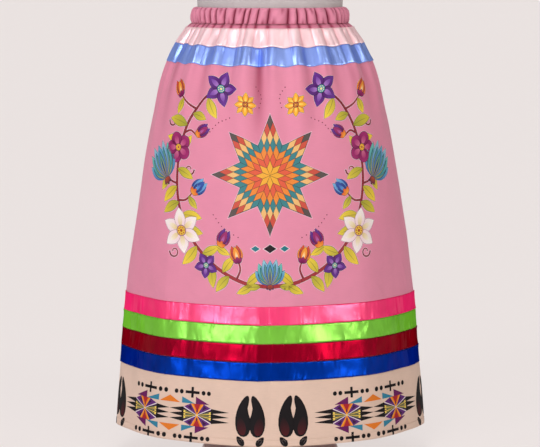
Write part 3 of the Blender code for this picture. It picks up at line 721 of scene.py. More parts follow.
def petal(
    art, at, turn, length, width, colours, level, widest=0.5, point=1.0, bend=0.0, grow=0.0, hollow=0.0
):
    """A petal or leaf shape from its foot at a place, pointing up the cloth when its turn is 0 and
    turned clockwise. Its point is sharp at 1 and round at 0.5, and it bends by an angle. A hollow
    draws in its right side, above 0, or its left."""
    shape = bmesh.new()
    bmesh.ops.create_circle(shape, cap_ends=True, segments=PETAL_POINTS, radius=1.0)
    full, half_width = length + 2 * grow, width / 2 + grow
    curve = math.radians(bend) * full / length
    power = math.log(0.5) / math.log(widest)
    turned, shades = math.radians(turn), []
    for vertex in shape.verts:
        share = min(1.0, max(0.0, (1 + vertex.co.y) / 2))
        side = 0.0
        if 0.0 < share < 1.0:
            side = math.copysign(half_width * math.sin(math.pi * share**power) ** point, vertex.co.x)
        if side * hollow > 0:
            side *= 1 - abs(hollow) * math.exp(-(((share - HOLLOW_MIDDLE) / HOLLOW_SPREAD) ** 2))
        x, y = side, full * share
        if curve:
            radius, swung = full / curve, curve * share
            x = radius * (1 - math.cos(swung)) + side * math.cos(swung)
            y = radius * math.sin(swung) - side * math.sin(swung)
        y -= grow
        vertex.co.x = at[0] + x * math.cos(turned) + y * math.sin(turned)
        vertex.co.y = at[1] - y * math.cos(turned) + x * math.sin(turned)
        shades.append(screen_colour(*blend_colours(*colours, share)))
    ink(art, shape, shades, level)


def drawn_petal(art, at, turn, length, width, colours, level, line=LINE_DARK, **form):
    """A petal with its white film edge, its dark outline, the colours of its foot and its tip and,
    where a third is given, a lighter heart."""
    foot, tip, *heart = colours
    petal(art, at, turn, length, width, (FILM_WHITE, FILM_WHITE), 0, grow=FILM_EDGE, **form)
    petal(art, at, turn, length, width, (line, line), level, grow=LINE_EDGE, **form)
    petal(art, at, turn, length, width, (foot, tip), level + 1, **form)
    for light in heart:
        start = step_from(at, turn, HEART_START * length)
        petal(art, start, turn, HEART_LENGTH * length, HEART_WIDTH * width, (light, tip), level + 2, **form)


def disc(art, at, radius, colour, level, sides=16):
    shape = bmesh.new()
    bmesh.ops.create_circle(shape, cap_ends=True, segments=sides, radius=radius)
    bmesh.ops.translate(shape, verts=shape.verts, vec=(*at, 0.0))
    ink(art, shape, [screen_colour(*colour)] * sides, level)


def patch(art, corners, colour, level):
    """A straight-sided shape through a few corners."""
    shape = bmesh.new()
    shape.faces.new([shape.verts.new((x, y, 0.0)) for x, y in corners])
    ink(art, shape, [screen_colour(*colour)] * len(corners), level)


def lozenge(middle, half_width, half_height):
    x, y = middle
    return [(x - half_width, y), (x, y - half_height), (x + half_width, y), (x, y + half_height)]


def smooth_path(stops, pieces):
    """Points along a smooth curve through the stops."""
    table, at = np.array(stops, float), np.linspace(0, len(stops) - 1, pieces + 1)
    places = np.arange(len(stops), dtype=float)
    return np.stack([eased(places, table[:, 0], at), eased(places, table[:, 1], at)], axis=1).tolist()


def strip(art, path, widths, colours, level, grow=0.0):
    """A tapering line along a path, from its first width and colour to its last."""
    steps = len(path) - 1
    shape = bmesh.new()
    bmesh.ops.create_grid(shape, x_segments=1, y_segments=steps, size=0.5)
    shades = []
    for vertex in shape.verts:
        place = round((vertex.co.y + 0.5) * steps)
        share = place / steps
        before, after = path[max(0, place - 1)], path[min(steps, place + 1)]
        along = Vector((after[0] - before[0], after[1] - before[1])).normalized()
        side = math.copysign((widths[0] + (widths[1] - widths[0]) * share) / 2 + grow, vertex.co.x)
        end = {0: -grow, steps: grow}.get(place, 0.0)
        vertex.co.x = path[place][0] - along.y * side + along.x * end
        vertex.co.y = path[place][1] + along.x * side + along.y * end
        shades.append(screen_colour(*blend_colours(*colours, share)))
    ink(art, shape, shades, level)


STEM = ((132, 38, 52), (168, 52, 58))
STEM_LINE = (70, 18, 36)
STEM_FILM_EDGE = 0.8 * FILM_EDGE
STEM_LINE_EDGE = 0.0004


def stem(art, stops, widths, pieces):
    path = smooth_path(stops, pieces)
    strip(art, path, widths, (FILM_WHITE, FILM_WHITE), 0, STEM_FILM_EDGE)
    strip(art, path, widths, (STEM_LINE, STEM_LINE), 1, STEM_LINE_EDGE)
    strip(art, path, widths, STEM, 2)


# a leaf's foot and tip, in its yellowest and its greenest, its outline and its vein
LEAF_YELLOW = ((200, 182, 56), (248, 216, 68))
LEAF_GREEN = ((134, 146, 48), (206, 196, 62))
LEAF_LINE = (84, 78, 36)
LEAF_VEIN = ((120, 118, 50), (150, 140, 60))
VEIN_SHARE, VEIN_WIDTH = 0.82, 0.0011


def leaf(art, at, turn, length, width, bend, green):
    colours = [blend_colours(*ends, green) for ends in zip(LEAF_YELLOW, LEAF_GREEN)]
    drawn_petal(art, at, turn, length, width, colours, 3, LEAF_LINE, widest=0.46, point=0.9, bend=bend)
    vein = {"widest": 0.4, "point": 0.6, "bend": VEIN_SHARE * bend}
    petal(art, at, turn, VEIN_SHARE * length, VEIN_WIDTH, LEAF_VEIN, 5, **vein)


# a blossom's middle, as shares of its radius: its rim, its disc, its ring of beads, and one bead in
# that ring and at its centre
RIM, CENTRE, BEAD_RING, BEAD, CENTRE_BEAD = 0.25, 0.21, 0.145, 0.034, 0.07


def blossom(art, at, turn, radius, petals, colours, middle, form, line=LINE_DARK):
    """An open flower with its petals all round and a beaded middle. Its form is a petal's width as a
    share of the radius, how sharp its point is and where it is widest."""
    width, point, widest = form
    for number in range(petals):
        way = turn + 360.0 * number / petals
        level = 7 if number % 2 else 10
        drawn_petal(art, at, way, radius, radius * width, colours, level, line, point=point, widest=widest)
    disc(art, at, radius * RIM, line, 13)
    disc(art, at, radius * CENTRE, middle[0], 14)
    for number in range(8):
        bead = step_from(at, 45 * number + turn, radius * BEAD_RING)
        disc(art, bead, radius * BEAD, middle[1], 15, 6)
    disc(art, at, radius * CENTRE_BEAD, middle[1], 15, 8)


def tulip(art, at, turn, size, outer, inner, cup):
    """A half-open flower seen from the side: five pointed petals out of a small cup."""
    for angle, length, width, bend, colours, level in (
        (-34, 0.86, 0.34, 34, outer, 7), (34, 0.86, 0.34, -34, outer, 7),
        (-15, 0.98, 0.34, 12, inner, 9), (15, 0.98, 0.34, -12, inner, 9), (0, 0.90, 0.36, 0, outer, 11),
    ):
        form = {"widest": 0.5, "point": 0.9, "bend": bend}
        drawn_petal(art, at, turn + angle, size * length, size * width, colours, level, **form)
    for angle in (-48, 0, 48):
        drawn_petal(art, at, turn + angle, size * 0.34, size * 0.19, cup, 14, widest=0.45, point=0.9)


# the fan flower's petals, from the outer pair in: angle, length, width and bend
FAN_PETALS = [
    (-66, 0.80, 0.25, 42), (66, 0.80, 0.25, -42), (-42, 0.94, 0.27, 28), (42, 0.94, 0.27, -28),
    (-20, 1.0, 0.28, 12), (20, 1.0, 0.28, -12), (0, 0.94, 0.30, 0),
]
FAN_COLOURS = [
    ((54, 84, 170), (110, 186, 208)), ((40, 120, 140), (120, 200, 190)), ((72, 110, 190), (150, 210, 222)),
]
FAN_LINE = (28, 32, 74)
# the bands inside each of its petals: length and width as shares of the petal's own, colours, level
FAN_BANDS = [
    (0.84, 0.58, (FAN_LINE, FAN_LINE), 2), (0.80, 0.50, ((214, 176, 74), (60, 150, 160)), 2.5),
    (0.60, 0.20, ((34, 48, 110), (40, 90, 130)), 3),
]
FAN_FOOT = ((206, 92, 54), (86, 40, 70))


def fan_flower(art, at, turn, size):
    """The large open flower: a wide fan of banded petals over a short foot."""
    for number, (angle, length, width, bend) in enumerate(FAN_PETALS):
        pair = number // 2
        level, colours = 7 + 3 * pair, FAN_COLOURS[pair % len(FAN_COLOURS)]
        place, long, wide = (art, at, turn + angle), size * length, size * width
        form = {"widest": 0.52, "point": 0.9, "bend": bend}
        drawn_petal(*place, long, wide, colours, level, FAN_LINE, **form)
        for share, narrowing, band, above in FAN_BANDS:
            petal(*place, long * share, wide * narrowing, band, level + above, **form)
    for angle in (-140, 180, 140):
        foot = (size * 0.2, size * 0.12, FAN_FOOT, 20, FAN_LINE)
        drawn_petal(art, at, turn + angle, *foot, widest=0.4, point=0.8)


DOT_RADIUS = 0.0013
DOT_COLOUR = (110, 20, 50)


def dotted(art, stops, count):
    for place in smooth_path(stops, count):
        disc(art, place, DOT_RADIUS, DOT_COLOUR, 1, 8)


STAR_PLACE = (0.0, 0.338)
STAR_REACH = 0.122
STAR_ROWS = 4
STAR_LINE, STAR_LINE_EDGE = (58, 44, 46), 0.0007
# how much further an edge stands out at the tip of an arm and at its two sides than along it
TIP_MITRE, SIDE_MITRE = 2.6, 1.08
DIAMOND_GAP = 0.00055
# the star's diamonds from its heart outward: their colours, ring by ring
STAR_RINGS = [
    (240, 176, 62), (226, 98, 70), (236, 140, 60), (64, 132, 138), (238, 190, 120), (206, 84, 66),
    (88, 80, 76),
]


def diamond_star(art):
    """An eight-pointed star pieced from small diamonds, as on a star quilt, ring by ring."""
    heart, half_arm = Vector(STAR_PLACE), 22.5
    side = STAR_REACH / (2 * math.cos(math.radians(half_arm)))
    for arm in range(8):
        first, second = (Vector(step_from((0, 0), 45 * arm + way, side)) for way in (-half_arm, half_arm))
        for grow, colour, level in ((FILM_EDGE, FILM_WHITE, 0), (STAR_LINE_EDGE, STAR_LINE, 2)):
            out = (first + second).normalized() * grow * TIP_MITRE
            away = (first - second).normalized() * grow * SIDE_MITRE
            corners = [Vector((0, 0)), first + away, first + second + out, second - away]
            patch(art, [heart + corner for corner in corners], colour, level)
        for i in range(STAR_ROWS):
            for j in range(STAR_ROWS):
                middle = (first * (i + 0.5) + second * (j + 0.5)) / STAR_ROWS
                corners = []
                for di, dj in ((0, 0), (1, 0), (1, 1), (0, 1)):
                    corner = (first * (i + di) + second * (j + dj)) / STAR_ROWS
                    corners.append(heart + corner + (middle - corner).normalized() * DIAMOND_GAP)
                patch(art, corners, STAR_RINGS[i + j], 4)


def bisected(shape, middle, square, **sides):
    """Cuts a shape by a plane."""
    whole = [*shape.verts, *shape.edges, *shape.faces]
    bmesh.ops.bisect_plane(shape, geom=whole, plane_co=middle, plane_no=square, dist=CUT_REACH, **sides)


def cut_on_grid(shape):
    """Cuts a shape along the cloth's columns and rows, once its points are in them."""
    for axis in (0, 1):
        places = [point.co[axis] for point in shape.verts]
        for line in range(math.floor(min(places) + 0.001) + 1, math.ceil(max(places) - 0.001)):
            middle, square = [0.0, 0.0, 0.0], [0.0, 0.0, 0.0]
            middle[axis], square[axis] = line, 1.0
            bisected(shape, middle, square)


def on_grid(shape, chart, straight):
    """Moves a shape's points from metres to the columns and rows of the cloth's grid, and cuts off
    what runs past its two sides."""
    drops, _, arcs = chart
    for point in shape.verts:
        row = float(np.interp(point.co.y, drops, range(len(drops))))
        upper = min(int(row), len(drops) - 2)
        level_arcs = arcs[upper] + (arcs[upper + 1] - arcs[upper]) * (row - upper)
        if straight:
            point.co.x *= float(level_arcs[-1] / arcs[-1, -1])
        beyond = point.co.x - min(max(point.co.x, level_arcs[0]), level_arcs[-1])
        column = float(np.interp(point.co.x, level_arcs, range(arcs.shape[1])))
        point.co.x = column + beyond / float(level_arcs[-1] - level_arcs[-2])
        point.co.y = row
    for end, out in ((0, -1), (arcs.shape[1] - 1, 1)):
        bisected(shape, (end, 0, 0), (out, 0, 0), clear_outer=True)


def press_on(name, art, chart, finish, straight=False):
    """Lays a flat drawing on a cloth's own grid and makes it a piece. A straight band is eased out to
    the skirt's flare, so its drawing runs square to the side seams."""
    drops, grid, arcs = chart
    laid, mesh = bmesh.new(), bpy.data.meshes.new(name)
    for shape in art:
        on_grid(shape, chart, straight)
        if shape.faces:
            cut_on_grid(shape)
            shape.normal_update()
            inward = [face for face in shape.faces if face.normal.z > 0]
            bmesh.ops.reverse_faces(shape, faces=inward)
            shape.to_mesh(mesh)
            laid.from_mesh(mesh)
        shape.free()
    laid.to_mesh(mesh)
    laid.free()
    flat = np.empty(len(mesh.vertices) * 3)
    mesh.vertices.foreach_get("co", flat)
    column, row, level = flat.reshape(-1, 3).T
    left = np.clip(column.astype(int), 0, arcs.shape[1] - 2)
    upper = np.clip(row.astype(int), 0, len(drops) - 2)
    s, t = (column - left)[:, None], (row - upper)[:, None]
    square = np.cross(np.gradient(grid, axis=0), np.gradient(grid, axis=1))
    square /= np.linalg.norm(square, axis=2)[:, :, None]

    def read(values):
        top = values[upper, left] * (1 - s) + values[upper, left + 1] * s
        low = values[upper + 1, left] * (1 - s) + values[upper + 1, left + 1] * s
        return top * (1 - t) + low * t

    outward = read(square)
    outward /= np.linalg.norm(outward, axis=1)[:, None]
    mesh.vertices.foreach_set("co", (read(grid) + outward * level[:, None]).ravel())
    along = read(arcs[:, :, None])[:, 0]
    map_cloth(mesh, np.stack([along, -np.interp(row, range(len(drops)), drops)], axis=1))
    mesh.update()
    piece = put_in(name, mesh, finish)
    mesh.normals_split_custom_set_from_vertices(outward.tolist())
    return piece


RUB_SCALE = 900.0
RUBBED = ((255, 255, 255), (232, 228, 230))


def print_finish(name, roughness):
    """Ink on a thin film over the weave: the ink's own colour, a little broken by the threads."""
    made, tree, shader = new_finish(name, roughness, inputs=[("Specular IOR Level", 0.14)])
    colour = add_node(tree, "ShaderNodeAttribute", attribute_name="ink").outputs["Color"]
    rubbed = noise(tree, cloth_map(tree), RUB_SCALE, 2.0)
    broken = mixed(tree, 1.0, colour, two_colours(tree, rubbed, *RUBBED), blend_type="MULTIPLY")
    set_inputs(tree, shader, [("Base Color", broken), ("Normal", bump(tree, rubbed, 0.0002, 0.3))])
    return made


# the garland's right half, which the left mirrors. Its stems are the main one, from its top end down
# and in to the middle, and its side shoots: stops, width at both ends, and pieces
GARLAND_STEMS = [
    ([
        (0.122, 0.170), (0.160, 0.196), (0.190, 0.250), (0.206, 0.320), (0.204, 0.392), (0.178, 0.462),
        (0.124, 0.520), (0.060, 0.554), (0.0, 0.564),
    ], (0.0046, 0.0076), 64),
    ([(0.168, 0.206), (0.190, 0.196), (0.208, 0.180)], (0.0042, 0.0026), 12),
    ([(0.192, 0.256), (0.176, 0.250), (0.160, 0.262)], (0.0042, 0.0026), 12),
    ([(0.208, 0.360), (0.226, 0.354), (0.240, 0.338)], (0.0044, 0.0028), 12),
    ([(0.204, 0.394), (0.184, 0.392), (0.166, 0.376)], (0.0042, 0.0026), 12),
    ([(0.132, 0.514), (0.122, 0.492), (0.104, 0.480)], (0.0044, 0.0026), 12),
    ([(0.070, 0.550), (0.062, 0.530), (0.066, 0.512)], (0.0042, 0.0026), 12),
]
# its curled tendrils: place, and the side each starts on
TENDRILS = [(0.226, 0.232, 1), (0.176, 0.330, -1), (0.214, 0.500, 1)]
TENDRIL_RADIUS = 0.0125
TENDRIL_WIDTHS = (0.0030, 0.0016)
TENDRIL_STOPS = range(0, 400, 40)  # degrees
TENDRIL_GONE = 520  # degrees, where its radius would be nothing
# its leaves: place, angle, length, width, bend, and how green
GARLAND_LEAVES = [
    (0.138, 0.184, 196, 0.046, 0.020, 24, 0.1), (0.174, 0.216, -100, 0.036, 0.017, -20, 0.5),
    (0.186, 0.240, 64, 0.050, 0.022, 24, 0.6), (0.196, 0.268, 96, 0.044, 0.018, -22, 0.0),
    (0.200, 0.290, -52, 0.040, 0.017, 20, 0.2), (0.206, 0.330, -104, 0.044, 0.019, -24, 0.4),
    (0.208, 0.366, 122, 0.050, 0.021, 22, 0.0), (0.202, 0.398, 108, 0.048, 0.020, 24, 0.5),
    (0.194, 0.424, -84, 0.048, 0.021, -24, 0.0), (0.186, 0.446, -118, 0.044, 0.019, 20, 0.3),
    (0.160, 0.486, 150, 0.052, 0.022, -22, 0.0), (0.146, 0.500, -76, 0.042, 0.018, 20, 0.2),
    (0.124, 0.522, 172, 0.048, 0.020, 22, 0.5), (0.100, 0.536, -30, 0.042, 0.018, -18, 0.0),
    (0.086, 0.544, 128, 0.044, 0.019, 20, 0.4), (0.048, 0.558, -56, 0.042, 0.017, 20, 0.1),
    (0.036, 0.560, 128, 0.038, 0.016, -20, 0.2), (0.020, 0.562, 100, 0.032, 0.014, -16, 0.5),
    (0.200, 0.188, 150, 0.034, 0.015, 14, 0.2), (0.176, 0.384, -150, 0.032, 0.014, 12, 0.5),
    (0.114, 0.484, -126, 0.034, 0.015, 14, 0.0), (0.232, 0.346, 140, 0.036, 0.016, 14, 0.3),
]
NAVY, BLUE, SKY = (34, 34, 104), (52, 96, 182), (120, 186, 226)
PLUM, VIOLET, LILAC = (72, 18, 92), (106, 50, 150), (180, 134, 206)
WINE, ROSE = (112, 18, 76), (168, 44, 112)
FLAME, AMBER = (226, 84, 46), (248, 176, 56)
CREAM, BLUSH = (252, 248, 240), (240, 206, 216)
PLUM_FLOWER = {
    "petals": 5, "colours": (PLUM, VIOLET, LILAC), "middle": ((60, 150, 176), (236, 226, 140)),
}
ROSE_FLOWER = {
    "petals": 5, "colours": (WINE, ROSE, (214, 120, 150)), "middle": ((246, 190, 60), (150, 40, 60)),
    "form": (0.86, 0.55, 0.6),
}
PALE_FLOWER = {
    "petals": 6, "colours": (BLUSH, CREAM, (226, 196, 120)), "middle": ((232, 190, 60), (170, 80, 40)),
    "form": (0.56, 0.95, 0.5), "line": (150, 96, 128),
}
ROSETTE = {
    "petals": 8, "colours": ((232, 120, 40), (250, 196, 60), (255, 226, 120)),
    "middle": ((150, 30, 50), (250, 196, 60)), "form": (0.5, 0.9, 0.5), "line": (96, 20, 48),
}
FLAME_BUD = {"outer": (FLAME, AMBER, CREAM), "inner": (WINE, FLAME, AMBER), "cup": (WINE, ROSE)}
ROSE_BUD = {"outer": (WINE, ROSE, LILAC), "inner": (PLUM, VIOLET, LILAC), "cup": (AMBER, FLAME)}
BLUE_BUD = {"outer": (NAVY, BLUE, SKY), "inner": (BLUE, SKY, CREAM), "cup": (AMBER, FLAME)}
# its flowers, and last a small rosette over the star's shoulder: kind, place, angle, size and looks
GARLAND_FLOWERS = [
    (blossom, 0.112, 0.164, -20, 0.037, {**PLUM_FLOWER, "form": (0.62, 1.0, 0.45)}),
    (tulip, 0.206, 0.184, 28, 0.040, FLAME_BUD),
    (tulip, 0.162, 0.260, -58, 0.036, ROSE_BUD),
    (blossom, 0.206, 0.286, 20, 0.032, ROSE_FLOWER),
    (fan_flower, 0.238, 0.350, 30, 0.078, {}),
    (tulip, 0.168, 0.378, -50, 0.042, BLUE_BUD),
    (blossom, 0.196, 0.456, 8, 0.047, PALE_FLOWER),
    (tulip, 0.106, 0.484, -26, 0.040, ROSE_BUD),
    (blossom, 0.138, 0.524, 30, 0.027, {**PLUM_FLOWER, "form": (0.66, 1.0, 0.5)}),
    (tulip, 0.066, 0.516, 14, 0.038, FLAME_BUD),
    (blossom, 0.054, 0.196, 0, 0.024, ROSETTE),
]
# its dotted lines: stops, and how many steps
DOTTED_LINES = [
    ([(0.024, 0.200), (0.020, 0.178), (0.032, 0.158)], 5),
    ([(0.088, 0.222), (0.112, 0.232), (0.130, 0.252)], 6),
    ([(0.120, 0.420), (0.098, 0.446), (0.066, 0.464)], 7),
]
# the short chain of diamonds under the star: how far along, half height and colour
CHAIN = [(-0.030, 0.006, (40, 120, 130)), (0.0, 0.009, (40, 30, 36)), (0.030, 0.006, (40, 120, 130))]
CHAIN_DROP = 0.486
CHAIN_LENGTHENING = 1.5


def tendril_stops(x, y, way):
    """A curl that winds in, from its outer end."""
    for turned in TENDRIL_STOPS:
        radius, angle = TENDRIL_RADIUS * (1 - turned / TENDRIL_GONE), math.radians(turned)
        yield x + way * radius * math.cos(angle), y + radius * math.sin(angle)


def half_garland(art, side):
    """The garland's right half, at 1, or its left, at -1."""
    def mirrored(stops):
        return [(side * x, y) for x, y in stops]

    for stops, widths, pieces in GARLAND_STEMS:
        stem(art, mirrored(stops), widths, pieces)
    for tendril in TENDRILS:
        stem(art, mirrored(tendril_stops(*tendril)), TENDRIL_WIDTHS, 30)
    for x, y, angle, length, width, bend, green in GARLAND_LEAVES:
        leaf(art, (side * x, y), side * angle, length, width, side * bend, green)
    for kind, x, y, angle, size, looks in GARLAND_FLOWERS:
        kind(art, (side * x, y), side * angle, size, **looks)
    for stops, count in DOTTED_LINES:
        dotted(art, mirrored(stops), count)


art = []
diamond_star(art)
for side in (-1, 1):
    half_garland(art, side)
fan_flower(art, (0.0, 0.560), 0, 0.054)
for x, reach, colour in CHAIN:
    for size, shown, level in ((reach + FILM_EDGE, FILM_WHITE, 0), (reach, colour, 1)):
        patch(art, lozenge((x, CHAIN_DROP), size * CHAIN_LENGTHENING, size), shown, level)
film = print_finish("pressed_print", 0.55)
front_print = press_on("front_print", art, front_chart, film)

# ------------------------------------------------------------------ the hem's front and back
# Two bands of tan cotton broadcloth under the last ribbon, with the lower edge turned up by 14 mm and
# sewn. They are joined at the same side seams as the panels above.

TAN_CLOTH = (218, 189, 171)
HEM_TURN_UP = 0.014
HEM_LINE = SKIRT_LENGTH - HEM_TURN_UP
HEM_LINE_SUNK, HEM_LINE_REACH = 0.0005, 0.0012
HEM_FULLER, HEM_FULL_BELOW = 0.0005, 0.0015  # how much fuller the turn-up is, and how soon
HEM_LINE_ROWS = (-0.0016, -0.0007, 0.0, 0.0007, 0.0016)
HEM_ROW = 0.0044


def hem_place(angle, drop):
    """The band's face: sunk along the hem's stitches, and a cloth's thickness fuller below them."""
    fuller = HEM_FULLER * smoothstep(HEM_LINE, HEM_LINE + HEM_FULL_BELOW, drop)
    sunk = HEM_LINE_SUNK * np.exp(-(((drop - HEM_LINE) / HEM_LINE_REACH) ** 2))
    return panel_place(angle, drop, fuller - sunk)


tan, tree, shader = new_finish("tan_broadcloth", 0.8, inputs=[
    ("Sheen Weight", 0.1), ("Specular IOR Level", 0.35),
])
weave(tree, shader, TAN_CLOTH, BROADCLOTH_THREAD, strength=0.35, tone=0.03)

drops = rows_between(PANEL_JOINT_DROP + SEAM_GAP / 2, SKIRT_LENGTH, HEM_ROW)
drops = np.unique([*drops, *(HEM_LINE + row for row in HEM_LINE_ROWS)])
hems = {
    "front": lay_panel("hem_front", 0.0, drops, hem_place, tan, "tan_cloth"),
    "back": lay_panel("hem_back", 180.0, drops, hem_place, tan, "tan_cloth"),
}

# ------------------------------------------------------------------ the printed border
# A border screen-printed straight on the tan bands: pairs of stepped lozenge blocks with black spikes,
# rows of dots and crosses over and under them, and a cloven hoofprint between the pairs. It runs
# all round and meets at the side seams.

BLACK_INK, BLOOD_INK, SLATE_INK = (17, 11, 14), (78, 18, 24), (92, 82, 84)
PURPLE_INK, DEEP_INK, MAGENTA_INK = (98, 42, 118), (56, 22, 62), (104, 24, 90)
TEAL_INK, ORANGE_INK, AMBER_INK = (52, 132, 160), (228, 124, 36), (250, 160, 44)
GOLD_INK, OLIVE_INK, RED_INK, PALE_INK = (246, 214, 98), (142, 152, 80), (172, 36, 44), (234, 222, 226)
BORDER_SHIFT = 0.0036
BORDER_MIDDLE = 0.834
ROW_DROPS = (0.7874, 0.8816)
# how far from the centre a pair's two blocks stand, and the hoofprints
BLOCK_PLACES = {"front": (0.164, 0.304), "back": (0.184, 0.324)}
PRINT_PLACES = {"front": (0.0453, 0.419), "back": (0.0453, 0.4698)}
BLOCK_SPREADS = (1.0, 1.2)  # the outer block and its dots are drawn wider
BLOCK_HALF_WIDTH, BLOCK_HALF_TOP = 0.0325, 0.0155
BLOCK_HALF_HEIGHT, BLOCK_HALF_SIDE = 0.0232, 0.0155
SPIKE_LENGTH, SPIKE_PITCH, SPIKE_HALF_FOOT = 0.041, 0.0104, 0.0052
# the stripes at a block's end, which narrow to its middle: place and half depth there, ink and level
STRIPES = [
    (0.0, 0.0136, DEEP_INK, 2), (-0.0082, 0.0010, OLIVE_INK, 3), (-0.0046, 0.0011, GOLD_INK, 3),
    (0.0, 0.0011, OLIVE_INK, 3), (0.0046, 0.0011, GOLD_INK, 3), (0.0082, 0.0010, OLIVE_INK, 3),
]
# the flames over and under its middle: half width at the edge, where each starts, ink and level
FLAMES = [(0.0150, 0.0, AMBER_INK, 3), (0.0118, 0.0032, ORANGE_INK, 4), (0.0080, 0.0068, RED_INK, 5)]
# the triangles over and under it, which point away from the pair: how far towards the pair's middle
# their upright side and their tip are, their ink and their height
TRIANGLES = [(0.0040, -0.0280, MAGENTA_INK, 0.0150), (0.0370, 0.0050, TEAL_INK, 0.0130)]
# a hoofprint's right half: place out and down, turn, length, width, ink at both ends, level, where it
# is widest, how sharp, its bend and its hollow
HOOF_MARKS = [
    (0.0132, 0.8714, 8, 0.0868, 0.0340, (BLACK_INK, BLACK_INK), 1, 0.37, 0.56, -27, -0.50),
    (0.0150, 0.8680, 14, 0.0400, 0.0190, (BLOOD_INK, BLACK_INK), 2, 0.40, 0.66, -10, 0),
    (0.0138, 0.8896, 38, 0.0235, 0.0135, (BLACK_INK, BLACK_INK), 1, 0.42, 0.6, 0, 0),
    (0.0160, 0.8815, 38, 0.0110, 0.0010, (SLATE_INK, SLATE_INK), 2, 0.42, 0.6, 0, 0),
    (0.0200, 0.8855, 38, 0.0110, 0.0010, (SLATE_INK, SLATE_INK), 2, 0.42, 0.6, 0, 0),
]
# the dots on each side of a cross: how far from it, and their radius
DOTS_AWAY, DOT_SIZE = (0.0262, 0.0388), 0.0047
CROSS_AWAY = 0.0127  # from the block's middle towards the pair's


def hoofprint(art, x):
    """Two claws that lean together at their points, and two dewclaws under them."""
    for side in (-1, 1):
        for out, drop, turn, length, width, inks, level, widest, point, bend, hollow in HOOF_MARKS:
            form = {"widest": widest, "point": point, "bend": side * bend, "hollow": side * hollow}
            petal(art, (x + side * out, drop), side * turn, length, width, inks, level, **form)


def oblong(left, right, middle, half_depth):
    upper, lower = middle - half_depth, middle + half_depth
    return [(left, upper), (right, upper), (right, lower), (left, lower)]


def block(art, x, spread, left, right):
    """A lozenge block at a place, with the lengths of its spikes on the left and on the right."""
    half, top = BLOCK_HALF_WIDTH * spread, BLOCK_HALF_TOP * spread
    high, low = BLOCK_HALF_HEIGHT, BLOCK_HALF_SIDE

    def mark(points, colour, level, side=1, above=1):
        patch(art, [(x + side * u, BORDER_MIDDLE + above * v) for u, v in points], colour, level)

    upper = [(-half, -low), (-top, -high), (top, -high), (half, -low)]
    mark(upper + [(-u, -v) for u, v in upper], PURPLE_INK, 1)
    for side, length in ((-1, left), (1, right)):
        lower = [(half + 0.0040, low - 0.001), (half, low + 0.0004)]
        mark([(u, -v) for u, v in reversed(lower)] + lower, BLACK_INK, 1, side)
        for number in (-1, 0, 1):
            foot = number * SPIKE_PITCH
            spike = [(half, foot - SPIKE_HALF_FOOT), (half + length, foot), (half, foot + SPIKE_HALF_FOOT)]
            mark(spike, BLACK_INK, 2, side)
        for foot, deep, colour, level in STRIPES:
            mark([(0, 0), (half, foot - deep), (half, foot + deep)], colour, level, side)
        for foot in (-0.0066, 0.0, 0.0066):
            mark(oblong(half * 0.86, half * 0.97, foot, 0.0017), GOLD_INK, 4, side)
        for above in (-1, 1):
            edge = [(half, low - 0.0014), (half, low), (half - 0.0012, low + 0.0004)]
            mark([(0.001, 0.0), *edge, (0.0, 0.0008)], PALE_INK, 4, side, above)
            mark([(0.0115, 0.0098), (0.0225, 0.0160), (0.0155, 0.0200)], DEEP_INK, 3, side, above)
    for above in (-1, 1):
        for reach, start, colour, level in FLAMES:
            mark([(0, start), (-reach * spread, high), (reach * spread, high)], colour, level, 1, above)
        mark([(0, 0.0045), (-0.0020, 0.0082), (0, 0.0130), (0.0020, 0.0082)], DEEP_INK, 6, 1, above)
    mark(lozenge((0, 0), 0.0030, 0.0018), GOLD_INK, 6)


def dots_and_cross(art, x, spread, drop):
    for away in DOTS_AWAY:
        for side in (-1, 1):
            disc(art, (x + side * away * spread, drop), DOT_SIZE * spread**0.5, BLACK_INK, 1, 14)
    for wide, deep in ((0.0168 * spread, 0.0029), (0.0029, 0.0112)):
        patch(art, oblong(x - wide, x + wide, drop, deep), BLACK_INK, 1)


def block_pair(art, side, places):
    """Two blocks whose spikes meet between them, with all that stands over and under them."""
    start = places[0] + BLOCK_HALF_WIDTH * BLOCK_SPREADS[0]
    end = places[1] - BLOCK_HALF_WIDTH * BLOCK_SPREADS[1]
    meet, middle = (end - start) / 2, BORDER_SHIFT + side * (start + end) / 2
    for place, spread, way in zip(places, BLOCK_SPREADS, (side, -side)):
        x = BORDER_SHIFT + side * place
        block(art, x, spread, *((SPIKE_LENGTH, meet) if way > 0 else (meet, SPIKE_LENGTH)))
        for drop in ROW_DROPS:
            dots_and_cross(art, x + way * CROSS_AWAY * spread, spread, drop)
        for above in (-1, 1):
            near = BORDER_MIDDLE + above * BLOCK_HALF_HEIGHT
            for foot, tip, colour, tall in TRIANGLES:
                upright, point = x + way * foot * spread, x + way * tip * spread
                patch(art, [(upright, near), (point, near), (upright, near + above * tall)], colour, 1)
    for above in (-1, 1):
        near = BORDER_MIDDLE + above * BLOCK_HALF_HEIGHT
        corners = [(middle - 0.0260, near), (middle + 0.0260, near), (middle, near + above * 0.0140)]
        patch(art, corners, ORANGE_INK, 1)


border_ink = print_finish("border_ink", 0.7)
for name, (hem, chart) in hems.items():
    art = []
    for side in (-1, 1):
        for place in PRINT_PLACES[name]:
            hoofprint(art, BORDER_SHIFT + side * place)
        block_pair(art, side, BLOCK_PLACES[name])
    border = press_on(f"border_{name}_print", art, chart, border_ink, straight=True)

# ------------------------------------------------------------------ the ribbons
# Six satin ribbons, 38 mm wide, sewn on flat all round along both their edges. The two under the waist
# were sewn on before the skirt was gathered, so they follow the gathers. Each pulls up a little
# along its stitches.

RIBBON_SHELL = 0.0006
RIBBON_SHADE_POWER = 1.8  # the power by which a ribbon's colour darkens into painted shade in a hollow
RIBBON_COLUMNS = 640
RIBBON_ROWS = 13
SATIN_GRAIN = 0.0004
SATIN_SWELL = 0.0150
